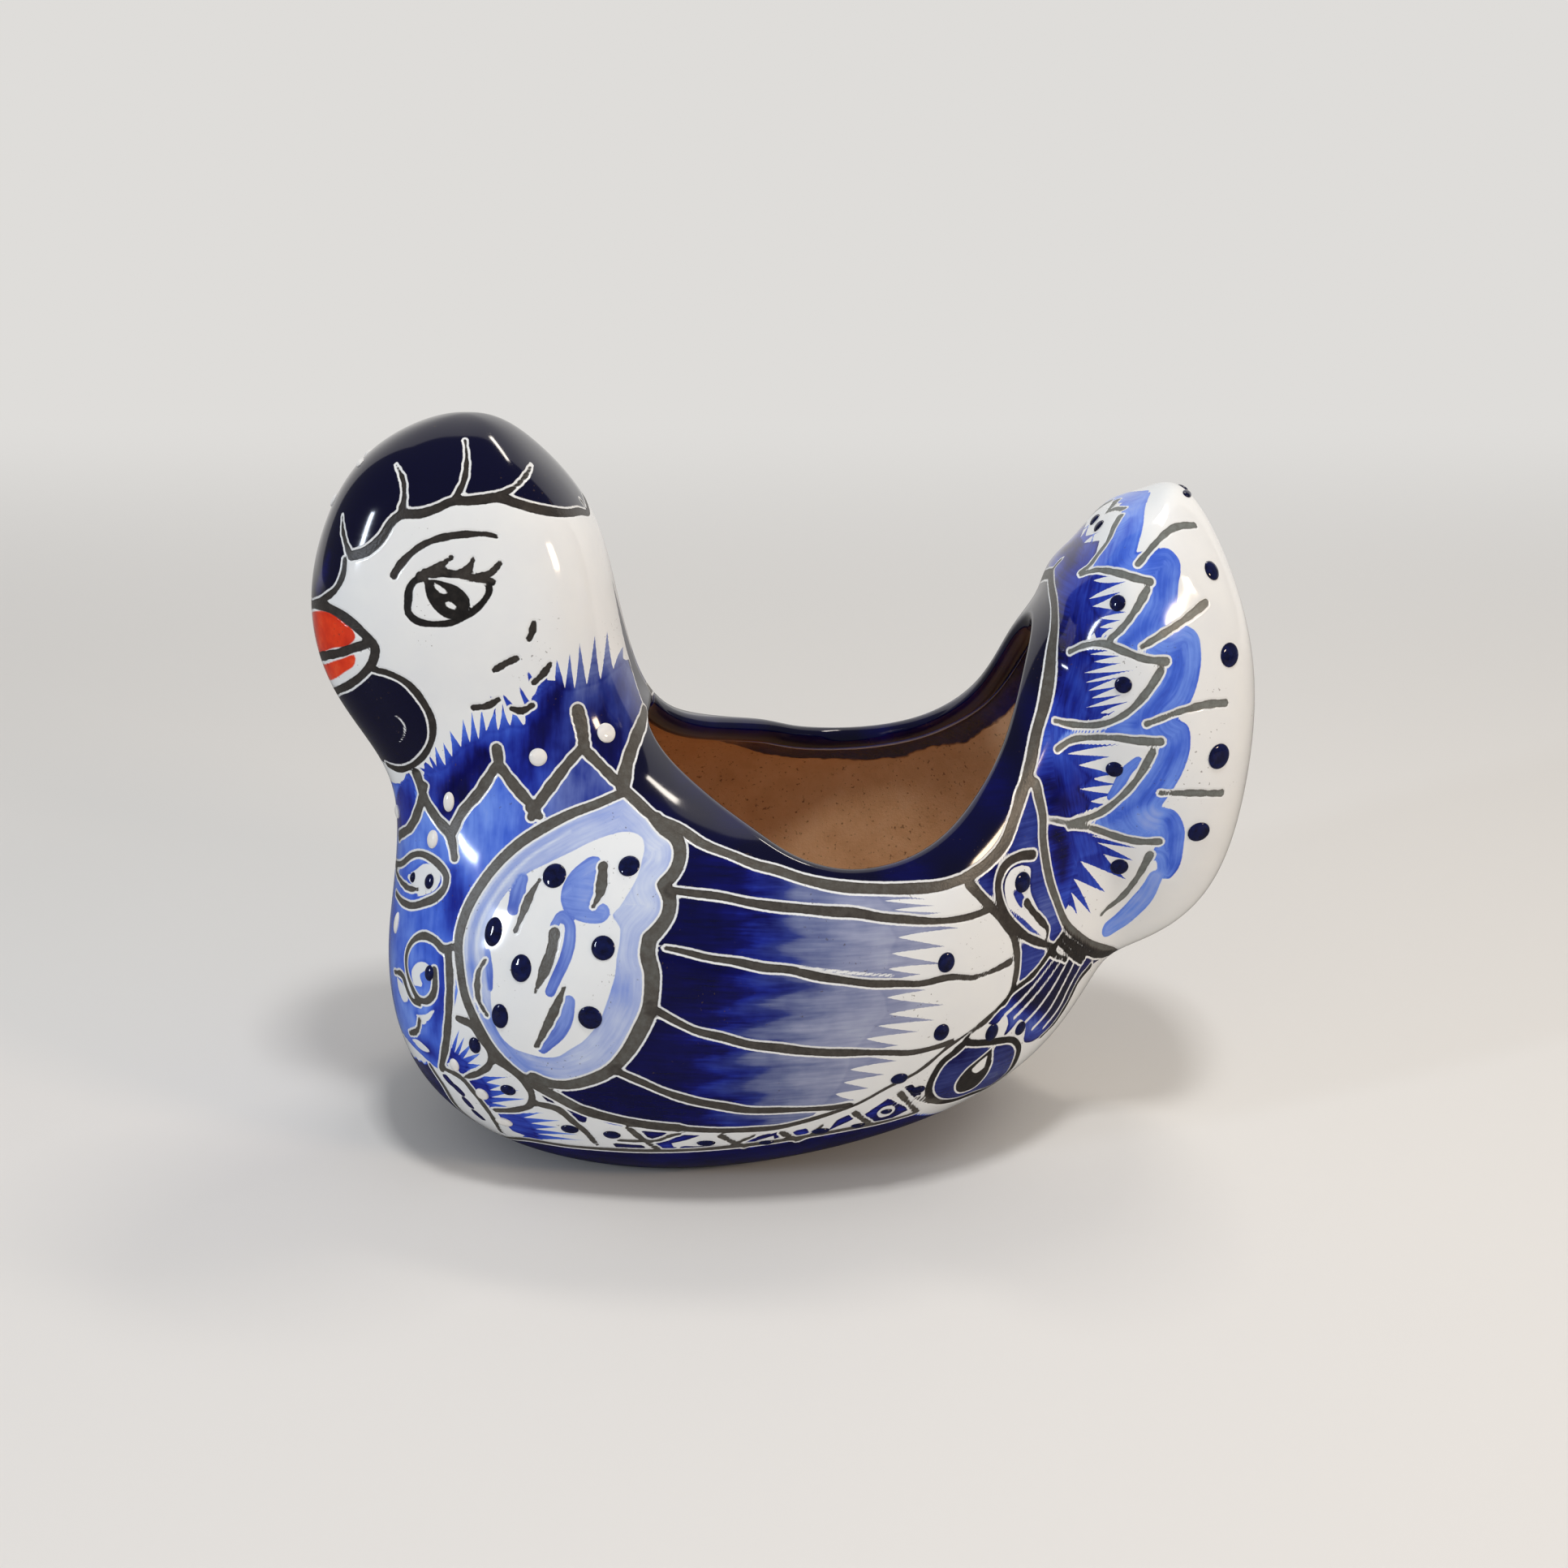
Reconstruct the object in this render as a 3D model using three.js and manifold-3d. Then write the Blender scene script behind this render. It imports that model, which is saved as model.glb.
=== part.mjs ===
// Hen-shaped earthenware planter, hollow, with an open back. The clay is pressed into
// two-part moulds, so every member is a left or a right half shell. The halves meet on
// the plane Y = 0, and the head and the tail are luted to the bowl with slip.
// Millimetres, +Z up. The hen looks along -X and its left side faces -Y.
// The origin is on the ground under the middle of the hen.

import * as THREE from "three";
import { mergeVertices } from "three/addons/utils/BufferGeometryUtils.js";
import Module from "manifold-3d";

// Driving dimensions
const LENGTH = 212; // from the beak to the back of the tail
const WIDTH = 121; // across the bowl
const HEIGHT = 167; // from the ground to the crown of the head
const WALL = 6; // thickness of the pressed clay
const DRAIN_DIAMETER = 10; // hole in the floor of the bowl
const DRAIN_X = -0.113 * LENGTH; // where the hole is along the hen
const FOOT_EDGE = 1.5; // how softly the belly turns into the flat foot
const RIM_DROP_DEG = 47.5; // how far round the section the mouth is cut down, at its lowest
const RIM_SKEW = 0.65; // above 0, the lowest part of the rim lies towards the tail
const RIM_BLUNTNESS_NAPE = 0.26; // below 0.5 that end of the mouth is blunter
const RIM_BLUNTNESS_TAIL = 0.52; // the same, at the tail
const MOUTH_FROM = 4.9; // station at the nape where the mouth starts
const MOUTH_TO = 16.65; // station at the front of the tail where the mouth ends
const JOINT_MARGIN = 0.25; // stations from an end of the mouth to the luted joint beside it
const FULLNESS = 0.05; // 0 is a plain ellipse, more is boxier
const KEEL = 0.12; // how much narrower a section is at its belly end

// Sections of the outer skin, from the crown of the head, down the breast, along the
// belly and up the tail. Each runs straight across the side view, from its point on
// the belly side to its point on the back side, both [x, z], and is 2 * half wide.
// Here x is in hundredths of LENGTH, z of HEIGHT and half of WIDTH.
const CROWN = [-32.8, 100];
const TAIL_TIP = [41.7, 90.1];
const SECTIONS = [
  { at: "comb", belly: [-42.2, 95.8], back: [-25.8, 95.3], half: 14 },
  { at: "brow", belly: [-47.6, 86.8], back: [-20.3, 86.2], half: 20.2 },
  { at: "beak", belly: [-49.8, 76], back: [-17.9, 75.4], half: 22.7 },
  { at: "chin", belly: [-48.6, 65.6], back: [-16.3, 66.5], half: 23.1 },
  { at: "nape", belly: [-45, 57.5], back: [-14.4, 60.5], half: 24 },
  { at: "throat", belly: [-42.2, 48.8], back: [-11.3, 56.3], half: 27.3 },
  { at: "collar", belly: [-42.7, 36.5], back: [-7.1, 54.2], half: 34.7 },
  { at: "crop", belly: [-43.6, 25.1], back: [-2.8, 53.3], half: 41.3 },
  { at: "breast", belly: [-41.3, 12], back: [1.4, 53], half: 46.3 },
  { at: "shoulder", belly: [-32.5, 1.5], back: [4.7, 53], half: 48.3 },
  { at: "fore_belly", belly: [-18.4, -3], back: [8, 53.3], half: 49.6 },
  { at: "mid_belly", belly: [-3.8, -2.4], back: [11.3, 53.9], half: 48.8 },
  { at: "hind_belly", belly: [9.9, 1.2], back: [14.9, 55.1], half: 45.9 },
  { at: "flank", belly: [21.7, 6.8], back: [18.4, 57.5], half: 40.5 },
  { at: "rump", belly: [29.8, 14.4], back: [21.9, 62.3], half: 32.6 },
  { at: "tail_stem", belly: [34.3, 22.1], back: [24.8, 69.6], half: 25.6 },
  { at: "tail_crease", belly: [37.3, 25.3], back: [27.2, 74.9], half: 22.3 },
  { at: "tail_root", belly: [42.6, 29.1], back: [28.5, 79.1], half: 23.6 },
  { at: "tail_lobe", belly: [47.4, 37.5], back: [30.8, 82.2], half: 25.2 },
  { at: "tail_fan", belly: [49.8, 51.5], back: [32.5, 84.8], half: 24 },
  { at: "tail_top", belly: [49.8, 66.5], back: [34.7, 87.6], half: 19.8 },
  { at: "tail_end", belly: [46.5, 80.8], back: [37.7, 89.2], half: 12.8 },
];
const LAST = SECTIONS.length + 1; // the tail tip's station; the crown is station 0
const NECK_JOINT = MOUTH_FROM - JOINT_MARGIN;
const TAIL_JOINT = MOUTH_TO + JOINT_MARGIN;

// How finely the clay is faceted
const STEPS_ROUND = 18; // round a half section
const STEPS_LIP = 6; // round the lip of the mouth
const STEPS_PER_STATION = 2.6;
const SLOPE_STEP = 1e-3; // step for the slopes that give a normal

const GLAZES = {
  tin_white: { color: 0xece6dc, roughness: 0.14, metalness: 0 },
  cobalt_blue: { color: 0x1a2c8c, roughness: 0.12, metalness: 0 },
};

const { lerp, degToRad } = THREE.MathUtils;

// Control values of the cyclic cubic B-spline that passes through the given values
function controlsThrough(values) {
  const control = values.map((v) => [...v]);
  const n = values.length;
  for (let round = 0; round < 60; round++) {
    const before = control.map((c) => [...c]);
    for (let i = 0; i < n; i++) {
      const left = before[(i + n - 1) % n];
      const right = before[(i + 1) % n];
      control[i] = before[i].map((c, k) => c + values[i][k] - (left[k] + 4 * c + right[k]) / 6);
    }
  }
  return control;
}

// The value of that spline at t, one unit for each control value
function splineAt(control, t) {
  const n = control.length;
  const i = Math.floor(t);
  const f = t - i;
  const weights = [
    (1 - f) ** 3 / 6,
    (3 * f ** 3 - 6 * f ** 2 + 4) / 6,
    (-3 * f ** 3 + 3 * f ** 2 + 3 * f + 1) / 6,
    f ** 3 / 6,
  ];
  return control[0].map((_, k) =>
    weights.reduce((sum, w, j) => sum + w * control[(i + j - 1 + 2 * n) % n][k], 0),
  );
}

const sideView = ([x, z]) => [(x / 100) * LENGTH, (z / 100) * HEIGHT];
const bellies = SECTIONS.map((s) => sideView(s.belly));
const backs = SECTIONS.map((s) => sideView(s.back));
const slenderness = SECTIONS.map(({ half }, i) => {
  const chord = Math.hypot(bellies[i][0] - backs[i][0], bellies[i][1] - backs[i][1]);
  return [(2 * (half / 100) * WIDTH) / chord];
});
const outline = controlsThrough([
  sideView(CROWN),
  ...bellies,
  sideView(TAIL_TIP),
  ...[...backs].reverse(),
]);
const widths = controlsThrough([
  slenderness[0],
  ...slenderness,
  slenderness.at(-1),
  ...[...slenderness].reverse(),
]);

// The belly turns softly into the foot instead of going below the ground
function settled(z, ground) {
  const h = z - ground;
  if (h <= -FOOT_EDGE) return ground;
  return h < FOOT_EDGE ? ground + (h + FOOT_EDGE) ** 2 / (4 * FOOT_EDGE) : z;
}

// A point of the left half's outer skin before it settles on the ground.
// round goes from 0 on the belly side to pi on the back side.
function rawSkin(station, round) {
  const belly = splineAt(outline, station);
  const back = splineAt(outline, 2 * LAST - station);
  const reach = [(belly[0] - back[0]) / 2, (belly[1] - back[1]) / 2];
  const halfWidth = splineAt(widths, station)[0] * Math.hypot(...reach);
  const along = (Math.cos(round) - FULLNESS * Math.cos(3 * round)) / (1 - FULLNESS);
  const across = (Math.sin(round) + FULLNESS * Math.sin(3 * round)) / (1 - FULLNESS);
  return new THREE.Vector3(
    (belly[0] + back[0]) / 2 + along * reach[0],
    -halfWidth * across * (1 - KEEL * Math.cos(round)),
    (belly[1] + back[1]) / 2 + along * reach[1],
  );
}

// Where the rim of the mouth lies round the section; pi where the section is closed
function rimRound(station) {
  const u = (station - MOUTH_FROM) / (MOUTH_TO - MOUTH_FROM);
  if (u <= 0 || u >= 1) return Math.PI;
  const skewed = u - RIM_SKEW * u * (1 - u);
  const bluntness = lerp(RIM_BLUNTNESS_NAPE, RIM_BLUNTNESS_TAIL, u);
  return Math.PI - degToRad(RIM_DROP_DEG) * Math.sin(Math.PI * skewed) ** bluntness;
}

// The skin's outward normal. At the two poles it lies along the outline's own normal.
function skinNormal(station, round) {
  if (station < SLOPE_STEP || station > LAST - SLOPE_STEP) {
    const a = splineAt(outline, station - SLOPE_STEP);
    const b = splineAt(outline, station + SLOPE_STEP);
    return new THREE.Vector3(b[1] - a[1], 0, a[0] - b[0]).normalize();
  }
  const alongStation = rawSkin(station + SLOPE_STEP, round).sub(rawSkin(station - SLOPE_STEP, round));
  const alongRound = rawSkin(station, round + SLOPE_STEP).sub(rawSkin(station, round - SLOPE_STEP));
  return alongStation.cross(alongRound).normalize();
}

// Outer and inner wall points at one place of the skin
function wallAt(station, round, onSeam) {
  const outer = rawSkin(station, round);
  const normal = skinNormal(station, round);
  const inner = outer.clone().addScaledVector(normal, -WALL);
  outer.z = settled(outer.z, 0);
  inner.z = settled(inner.z, WALL);
  if (onSeam) outer.y = inner.y = 0;
  return { outer, inner, normal };
}

// Stations in the mouth crowd towards its two ends at the rim, and are even at the belly
function mouthStation(step, steps, share) {
  const even = step / steps;
  const crowded = (1 - Math.cos(Math.PI * even)) / 2;
  return lerp(MOUTH_FROM, MOUTH_TO, lerp(even, crowded, share ** 2));
}

// The half-round lip between the outer and the inner wall, leaning out over the mouth.
// A closed section has none, so there its points stay together on the outer wall.
function lipPoints(outer, inner, lean) {
  const middle = outer.clone().add(inner).multiplyScalar(0.5);
  const radius = outer.clone().sub(inner).multiplyScalar(0.5);
  const points = [];
  for (let k = 1; k < STEPS_LIP; k++) {
    const turn = (Math.PI * k) / STEPS_LIP;
    const p = middle.clone().addScaledVector(radius, Math.cos(turn));
    points.push(lean ? p.addScaledVector(lean, radius.length() * Math.sin(turn)) : outer);
  }
  return points;
}

// One ring round the clay of a half section: out along the outer wall, over the lip,
// and back along the inner wall
function ring(stationOf, open) {
  const outer = [];
  const inner = [];
  let normal;
  const end = stationOf(1);
  for (let j = 0; j <= STEPS_ROUND; j++) {
    const share = j / STEPS_ROUND;
    const station = stationOf(share);
    const round = rimRound(open ? end : station) * share;
    const onSeam = j === 0 || (j === STEPS_ROUND && rimRound(end) === Math.PI);
    const wall = wallAt(station, round, onSeam);
    outer.push(wall.outer);
    inner.push(wall.inner);
    normal = wall.normal;
  }
  const lean = open ? rimLean(end, normal) : null;
  return [...outer, ...lipPoints(outer.at(-1), inner.at(-1), lean), ...inner.reverse()];
}

// Unit direction out over the rim, square to the rim line and to the wall
function rimLean(station, normal) {
  const start = Math.max(station - SLOPE_STEP, MOUTH_FROM);
  const stop = Math.min(station + SLOPE_STEP, MOUTH_TO);
  if (station === MOUTH_FROM || station === MOUTH_TO) {
    const across = new THREE.Vector3(0, station === MOUTH_FROM ? -1 : 1, 0);
    return normal.clone().cross(across).normalize();
  }
  const along = rawSkin(stop, rimRound(stop)).sub(rawSkin(start, rimRound(start)));
  return normal.clone().cross(along).normalize();
}

// The rings of one member, from station to station
function ringsBetween(from, to) {
  const rings = [];
  const closed = (a, b) => {
    const steps = Math.max(1, Math.ceil((b - a) * STEPS_PER_STATION));
    for (let i = 0; i <= steps; i++) rings.push(ring(() => lerp(a, b, i / steps), false));
  };
  if (from >= MOUTH_TO || to <= MOUTH_FROM) {
    closed(from, to);
    return rings;
  }
  closed(from, MOUTH_FROM);
  const steps = Math.ceil((MOUTH_TO - MOUTH_FROM) * STEPS_PER_STATION);
  for (let i = 0; i <= steps; i++) rings.push(ring((share) => mouthStation(i, steps, share), true));
  closed(MOUTH_TO, to);
  return rings;
}

// Skins the rings into one closed body. side is -1 for the hen's left, 1 for its right.
function shellGeometry(from, to, side) {
  const rings = ringsBetween(from, to);
  const around = rings[0].length;
  const triangles = [];
  const add = (a, b, c) => {
    if (a.equals(b) || b.equals(c) || c.equals(a)) return;
    triangles.push(...(side < 0 ? [a, b, c] : [a, c, b]));
  };
  for (let i = 0; i + 1 < rings.length; i++) {
    for (let j = 0; j < around; j++) {
      const k = (j + 1) % around;
      add(rings[i][j], rings[i + 1][j], rings[i + 1][k]);
      add(rings[i][j], rings[i + 1][k], rings[i][k]);
    }
  }
  const cap = (points, add3) => {
    for (let j = 0, k = around - 1; j + 1 < k; j++, k--) {
      add3(points[j], points[j + 1], points[k]);
      if (j + 2 < k) add3(points[j + 1], points[k - 1], points[k]);
    }
  };
  cap(rings[0], add);
  cap(rings.at(-1), (a, b, c) => add(a, c, b));
  const positions = new Float32Array(triangles.length * 3);
  triangles.forEach((p, i) => positions.set([p.x, side < 0 ? p.y : -p.y, p.z], 3 * i));
  const loose = new THREE.BufferGeometry();
  loose.setAttribute("position", new THREE.BufferAttribute(positions, 3));
  return mergeVertices(loose, 1e-3);
}

const wasm = await Module();
wasm.setup();

function toSolid(geometry) {
  const bare = geometry.clone();
  bare.deleteAttribute("normal");
  bare.deleteAttribute("uv");
  const merged = mergeVertices(bare, 1e-3);
  return new wasm.Manifold(
    new wasm.Mesh({
      numProp: 3,
      vertProperties: merged.attributes.position.array,
      triVerts: new Uint32Array(merged.index.array),
    }),
  );
}

function fromSolid(solid) {
  const { vertProperties, triVerts } = solid.getMesh();
  const geometry = new THREE.BufferGeometry();
  geometry.setAttribute("position", new THREE.BufferAttribute(vertProperties, 3));
  geometry.setIndex(new THREE.BufferAttribute(triVerts, 1));
  return geometry;
}

// The drain hole goes straight down through the floor, half of it in each shell
function withDrainHole(geometry) {
  const drill = new THREE.CylinderGeometry(DRAIN_DIAMETER / 2, DRAIN_DIAMETER / 2, 4 * WALL, 32);
  drill.rotateX(Math.PI / 2);
  drill.translate(DRAIN_X, 0, WALL / 2);
  return fromSolid(toSolid(geometry).subtract(toSolid(drill)));
}

// Puts the origin under the middle of the hen
function centred(group) {
  const middle = new THREE.Box3().setFromObject(group).getCenter(new THREE.Vector3());
  for (const mesh of group.children) mesh.geometry.translate(-middle.x, 0, 0);
  return group;
}

function member(name, geometry, glaze) {
  const material = new THREE.MeshStandardMaterial(glaze);
  material.name = name;
  const mesh = new THREE.Mesh(geometry, material);
  mesh.name = name;
  return mesh;
}

const hen = new THREE.Group();
for (const [hand, side] of [["left", -1], ["right", 1]]) {
  hen.add(member(`head_${hand}`, shellGeometry(0, NECK_JOINT, side), GLAZES.tin_white));
  hen.add(
    member(`bowl_${hand}`, withDrainHole(shellGeometry(NECK_JOINT, TAIL_JOINT, side)), GLAZES.cobalt_blue),
  );
  hen.add(member(`tail_${hand}`, shellGeometry(TAIL_JOINT, LAST, side), GLAZES.tin_white));
}

export default centred(hen);
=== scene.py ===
"""Dresses the hen planter: painted tin glaze outside, bare earthenware inside."""

import logging
import math
from dataclasses import dataclass, field
from enum import Enum

import bpy
import numpy as np
from mathutils import Matrix, Vector
from mathutils.kdtree import KDTree

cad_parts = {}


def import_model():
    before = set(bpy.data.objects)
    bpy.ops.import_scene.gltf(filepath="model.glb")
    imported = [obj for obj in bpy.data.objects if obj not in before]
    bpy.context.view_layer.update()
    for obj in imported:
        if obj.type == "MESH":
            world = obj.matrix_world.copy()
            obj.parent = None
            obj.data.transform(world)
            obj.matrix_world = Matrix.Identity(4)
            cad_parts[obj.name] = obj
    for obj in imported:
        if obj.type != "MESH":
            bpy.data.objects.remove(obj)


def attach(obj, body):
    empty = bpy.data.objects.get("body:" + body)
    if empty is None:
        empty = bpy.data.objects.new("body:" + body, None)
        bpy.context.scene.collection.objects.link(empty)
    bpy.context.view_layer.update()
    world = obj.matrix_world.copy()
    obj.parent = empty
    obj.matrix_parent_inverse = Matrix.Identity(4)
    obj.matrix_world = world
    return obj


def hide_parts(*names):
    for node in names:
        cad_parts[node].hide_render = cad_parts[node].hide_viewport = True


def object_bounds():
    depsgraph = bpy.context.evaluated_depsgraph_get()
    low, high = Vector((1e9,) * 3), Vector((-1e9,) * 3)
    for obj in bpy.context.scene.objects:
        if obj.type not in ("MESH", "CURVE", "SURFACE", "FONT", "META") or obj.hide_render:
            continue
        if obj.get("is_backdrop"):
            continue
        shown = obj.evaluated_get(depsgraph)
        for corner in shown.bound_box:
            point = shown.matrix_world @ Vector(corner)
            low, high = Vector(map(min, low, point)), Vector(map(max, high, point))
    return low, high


LOG = logging.getLogger("hen_planter")
MM = 0.001  # metres in a millimetre
FAR = 50.0  # millimetres, past the reach of every edge
LAYERS = (
    "pigment", "cover", "hair", "run", "lick", "reach", "outline", "ink", "scratch", "vermilion", "grey",
)
Px = tuple[float, float]


def linear(hex_colour: str, alpha: float = 1.0) -> tuple[float, float, float, float]:
    """Turns an sRGB hex colour into Blender's linear colour.

    Args:
        hex_colour: Six hex digits after a hash.
        alpha: The colour's opacity.

    Returns:
        Linear red, green, blue and alpha.
    """
    channels = [int(hex_colour[i : i + 2], 16) / 255 for i in (1, 3, 5)]
    curve = [c / 12.92 if c <= 0.04045 else ((c + 0.055) / 1.055) ** 2.4 for c in channels]
    return (*curve, alpha)


def add(
    tree: bpy.types.NodeTree, kind: str, inputs: dict | None = None, **settings: object
) -> bpy.types.Node:
    """Adds a node with its settings, input values and links.

    Args:
        tree: The node tree that gets the node.
        kind: The node's Blender type name.
        inputs: Values or output sockets, by input name or number.
        **settings: Properties of the node itself.

    Returns:
        The new node.
    """
    node = tree.nodes.new(kind)
    for name, value in settings.items():
        setattr(node, name, value)
    for key, value in (inputs or {}).items():
        if isinstance(value, bpy.types.NodeSocket):
            tree.links.new(value, node.inputs[key])
        else:
            node.inputs[key].default_value = value
    return node


def put(name: str, data: bpy.types.ID) -> bpy.types.Object:
    """Makes an object of some data and puts it in the scene."""
    made = bpy.data.objects.new(name, data)
    bpy.context.scene.collection.objects.link(made)
    return made


def tree_of(points: np.ndarray) -> KDTree:
    """A search tree over points, numbered in their order."""
    tree = KDTree(len(points))
    for number, point in enumerate(points):
        tree.insert(point, number)
    tree.balance()
    return tree


def unit(vectors: np.ndarray) -> np.ndarray:
    """The vectors at length 1."""
    return vectors / np.maximum(np.linalg.norm(vectors, axis=-1, keepdims=True), 1e-12)


def ease(low: float, high: float, value: np.ndarray) -> np.ndarray:
    """Smooth step from 0 at low to 1 at high."""
    t = np.clip((value - low) / (high - low), 0, 1)
    return t * t * (3 - 2 * t)


@dataclass(frozen=True)
class PhotoCamera:
    """The photograph's camera, in millimetres and in pixels of the 1932 x 1932 frame."""

    frame_px: float = 1932
    view_angle_deg: float = 40
    elevation_deg: float = 19
    distance: float = 500
    aim_height: float = 81

    @property
    def focal_px(self) -> float:
        """Focal length in pixels."""
        return self.frame_px / 2 / math.tan(math.radians(self.view_angle_deg) / 2)

    @property
    def axes(self) -> tuple[np.ndarray, np.ndarray, np.ndarray]:
        """Unit vectors to the right, up and along the view."""
        tilt = math.radians(self.elevation_deg)
        along = np.array([0, math.cos(tilt), -math.sin(tilt)])
        right = np.array([1.0, 0, 0])
        return right, np.cross(right, along), along

    @property
    def place(self) -> np.ndarray:
        """Where the camera stands."""
        return np.array([0, 0, self.aim_height]) - self.distance * self.axes[2]

    def project(self, points: np.ndarray) -> np.ndarray:
        """Gives the pixels at which points show.

        Args:
            points: Points in millimetres, one a row.

        Returns:
            Pixel columns and rows, one point a row.
        """
        right, up, along = self.axes
        ray = points - self.place
        depth = ray @ along
        half = self.frame_px / 2
        scale = self.focal_px / depth
        return np.stack([half + scale * (ray @ right), half - scale * (ray @ up)], -1)


def controls_through(values: list) -> np.ndarray:
    """Control values of the cyclic cubic B-spline that passes through the given values."""
    target = np.asarray(values, float)
    control = target.copy()
    for _ in range(60):
        control += target - (np.roll(control, 1, 0) + 4 * control + np.roll(control, -1, 0)) / 6
    return control


def spline_at(control: np.ndarray, t: np.ndarray) -> np.ndarray:
    """The values of that spline at t, one unit for each control value."""
    start = np.floor(t).astype(int)
    f = t - start
    weights = (
        (1 - f) ** 3 / 6,
        (3 * f**3 - 6 * f**2 + 4) / 6,
        (-3 * f**3 + 3 * f**2 + 3 * f + 1) / 6,
        f**3 / 6,
    )
    return sum(w[..., None] * control[(start + k - 1) % len(control)] for k, w in enumerate(weights))


@dataclass
class HenForm:
    """The hen's pressed clay form, in millimetres, from the same sections as its solids.

    Each section is its belly point and its back point, both (x, z), and its half width, in
    hundredths of the length, the height and the width.
    """

    length: float = 212
    width: float = 121
    height: float = 167
    wall: float = 6
    foot_edge: float = 1.5
    rim_drop_deg: float = 47.5
    rim_skew: float = 0.65
    rim_bluntness: tuple[float, float] = (0.26, 0.52)
    mouth: tuple[float, float] = (4.9, 16.65)
    joint_margin: float = 0.25
    fullness: float = 0.05
    keel: float = 0.12
    crown: Px = (-32.8, 100)
    tail_tip: Px = (41.7, 90.1)
    sections: tuple = (
        ((-42.2, 95.8), (-25.8, 95.3), 14),
        ((-47.6, 86.8), (-20.3, 86.2), 20.2),
        ((-49.8, 76), (-17.9, 75.4), 22.7),
        ((-48.6, 65.6), (-16.3, 66.5), 23.1),
        ((-45, 57.5), (-14.4, 60.5), 24),
        ((-42.2, 48.8), (-11.3, 56.3), 27.3),
        ((-42.7, 36.5), (-7.1, 54.2), 34.7),
        ((-43.6, 25.1), (-2.8, 53.3), 41.3),
        ((-41.3, 12), (1.4, 53), 46.3),
        ((-32.5, 1.5), (4.7, 53), 48.3),
        ((-18.4, -3), (8, 53.3), 49.6),
        ((-3.8, -2.4), (11.3, 53.9), 48.8),
        ((9.9, 1.2), (14.9, 55.1), 45.9),
        ((21.7, 6.8), (18.4, 57.5), 40.5),
        ((29.8, 14.4), (21.9, 62.3), 32.6),
        ((34.3, 22.1), (24.8, 69.6), 25.6),
        ((37.3, 25.3), (27.2, 74.9), 22.3),
        ((42.6, 29.1), (28.5, 79.1), 23.6),
        ((47.4, 37.5), (30.8, 82.2), 25.2),
        ((49.8, 51.5), (32.5, 84.8), 24),
        ((49.8, 66.5), (34.7, 87.6), 19.8),
        ((46.5, 80.8), (37.7, 89.2), 12.8),
    )
    last: int = field(init=False)
    outline: np.ndarray = field(init=False)
    widths: np.ndarray = field(init=False)

    def __post_init__(self) -> None:
        """Works out the two splines that carry the sections."""
        self.last = len(self.sections) + 1
        belly = [self.side_view(s[0]) for s in self.sections]
        back = [self.side_view(s[1]) for s in self.sections]
        ends = self.side_view(self.crown), self.side_view(self.tail_tip)
        self.outline = controls_through([ends[0], *belly, ends[1], *back[::-1]])
        halves = [s[2] / 100 * self.width for s in self.sections]
        slender = [[2 * half / math.dist(a, b)] for a, b, half in zip(belly, back, halves)]
        self.widths = controls_through([slender[0], *slender, slender[-1], *slender[::-1]])

    def side_view(self, point: Px) -> Px:
        """A point of the side view in millimetres."""
        return point[0] / 100 * self.length, point[1] / 100 * self.height

    def settled(self, z: np.ndarray, ground: float) -> np.ndarray:
        """Turns the belly softly into the flat foot instead of going below the ground."""
        h = z - ground
        soft = ground + (h + self.foot_edge) ** 2 / (4 * self.foot_edge)
        return np.where(h <= -self.foot_edge, ground, np.where(h < self.foot_edge, soft, z))

    def skin(self, station: np.ndarray, around: np.ndarray, ground: float | None = 0) -> np.ndarray:
        """Points of the left half's outer skin.

        Args:
            station: From 0 at the crown to last at the tail's tip.
            around: From 0 on the belly side to pi on the back side.
            ground: Height at which the belly settles, or None for the skin as it would go on.

        Returns:
            Points, with the same leading shape as station.
        """
        belly = spline_at(self.outline, station)
        back = spline_at(self.outline, 2 * self.last - station)
        reach = (belly - back) / 2
        half_width = spline_at(self.widths, station)[..., 0] * np.hypot(reach[..., 0], reach[..., 1])
        along = (np.cos(around) - self.fullness * np.cos(3 * around)) / (1 - self.fullness)
        across = (np.sin(around) + self.fullness * np.sin(3 * around)) / (1 - self.fullness)
        centre = (belly + back) / 2
        x = centre[..., 0] + along * reach[..., 0]
        y = -half_width * across * (1 - self.keel * np.cos(around))
        z = centre[..., 1] + along * reach[..., 1]
        return np.stack([x, y, z if ground is None else self.settled(z, ground)], -1)

    def normal(self, station: np.ndarray, around: np.ndarray, ground: float | None = 0) -> np.ndarray:
        """The skin's outward normals at those places."""
        step = 1e-3
        s = np.clip(station, 2 * step, self.last - 2 * step)
        along = self.skin(s + step, around, ground) - self.skin(s - step, around, ground)
        round_ = self.skin(s, around + step, ground) - self.skin(s, around - step, ground)
        return unit(np.cross(along, round_))

    def pole_normal(self, station: float) -> np.ndarray:
        """The outward normal at the crown or at the tail's tip."""
        a, b = spline_at(self.outline, np.array([station - 1e-3, station + 1e-3]))
        return unit(np.array([b[1] - a[1], 0, a[0] - b[0]]))

    def rim_round(self, station: np.ndarray) -> np.ndarray:
        """Where the rim of the mouth lies round the section; pi where it is closed."""
        u = np.clip((station - self.mouth[0]) / (self.mouth[1] - self.mouth[0]), 0, 1)
        skewed = u - self.rim_skew * u * (1 - u)
        nape, tail = self.rim_bluntness
        drop = np.maximum(np.sin(np.pi * skewed), 0) ** (nape + (tail - nape) * u)
        return np.pi - math.radians(self.rim_drop_deg) * np.where((u <= 0) | (u >= 1), 0, drop)


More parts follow.
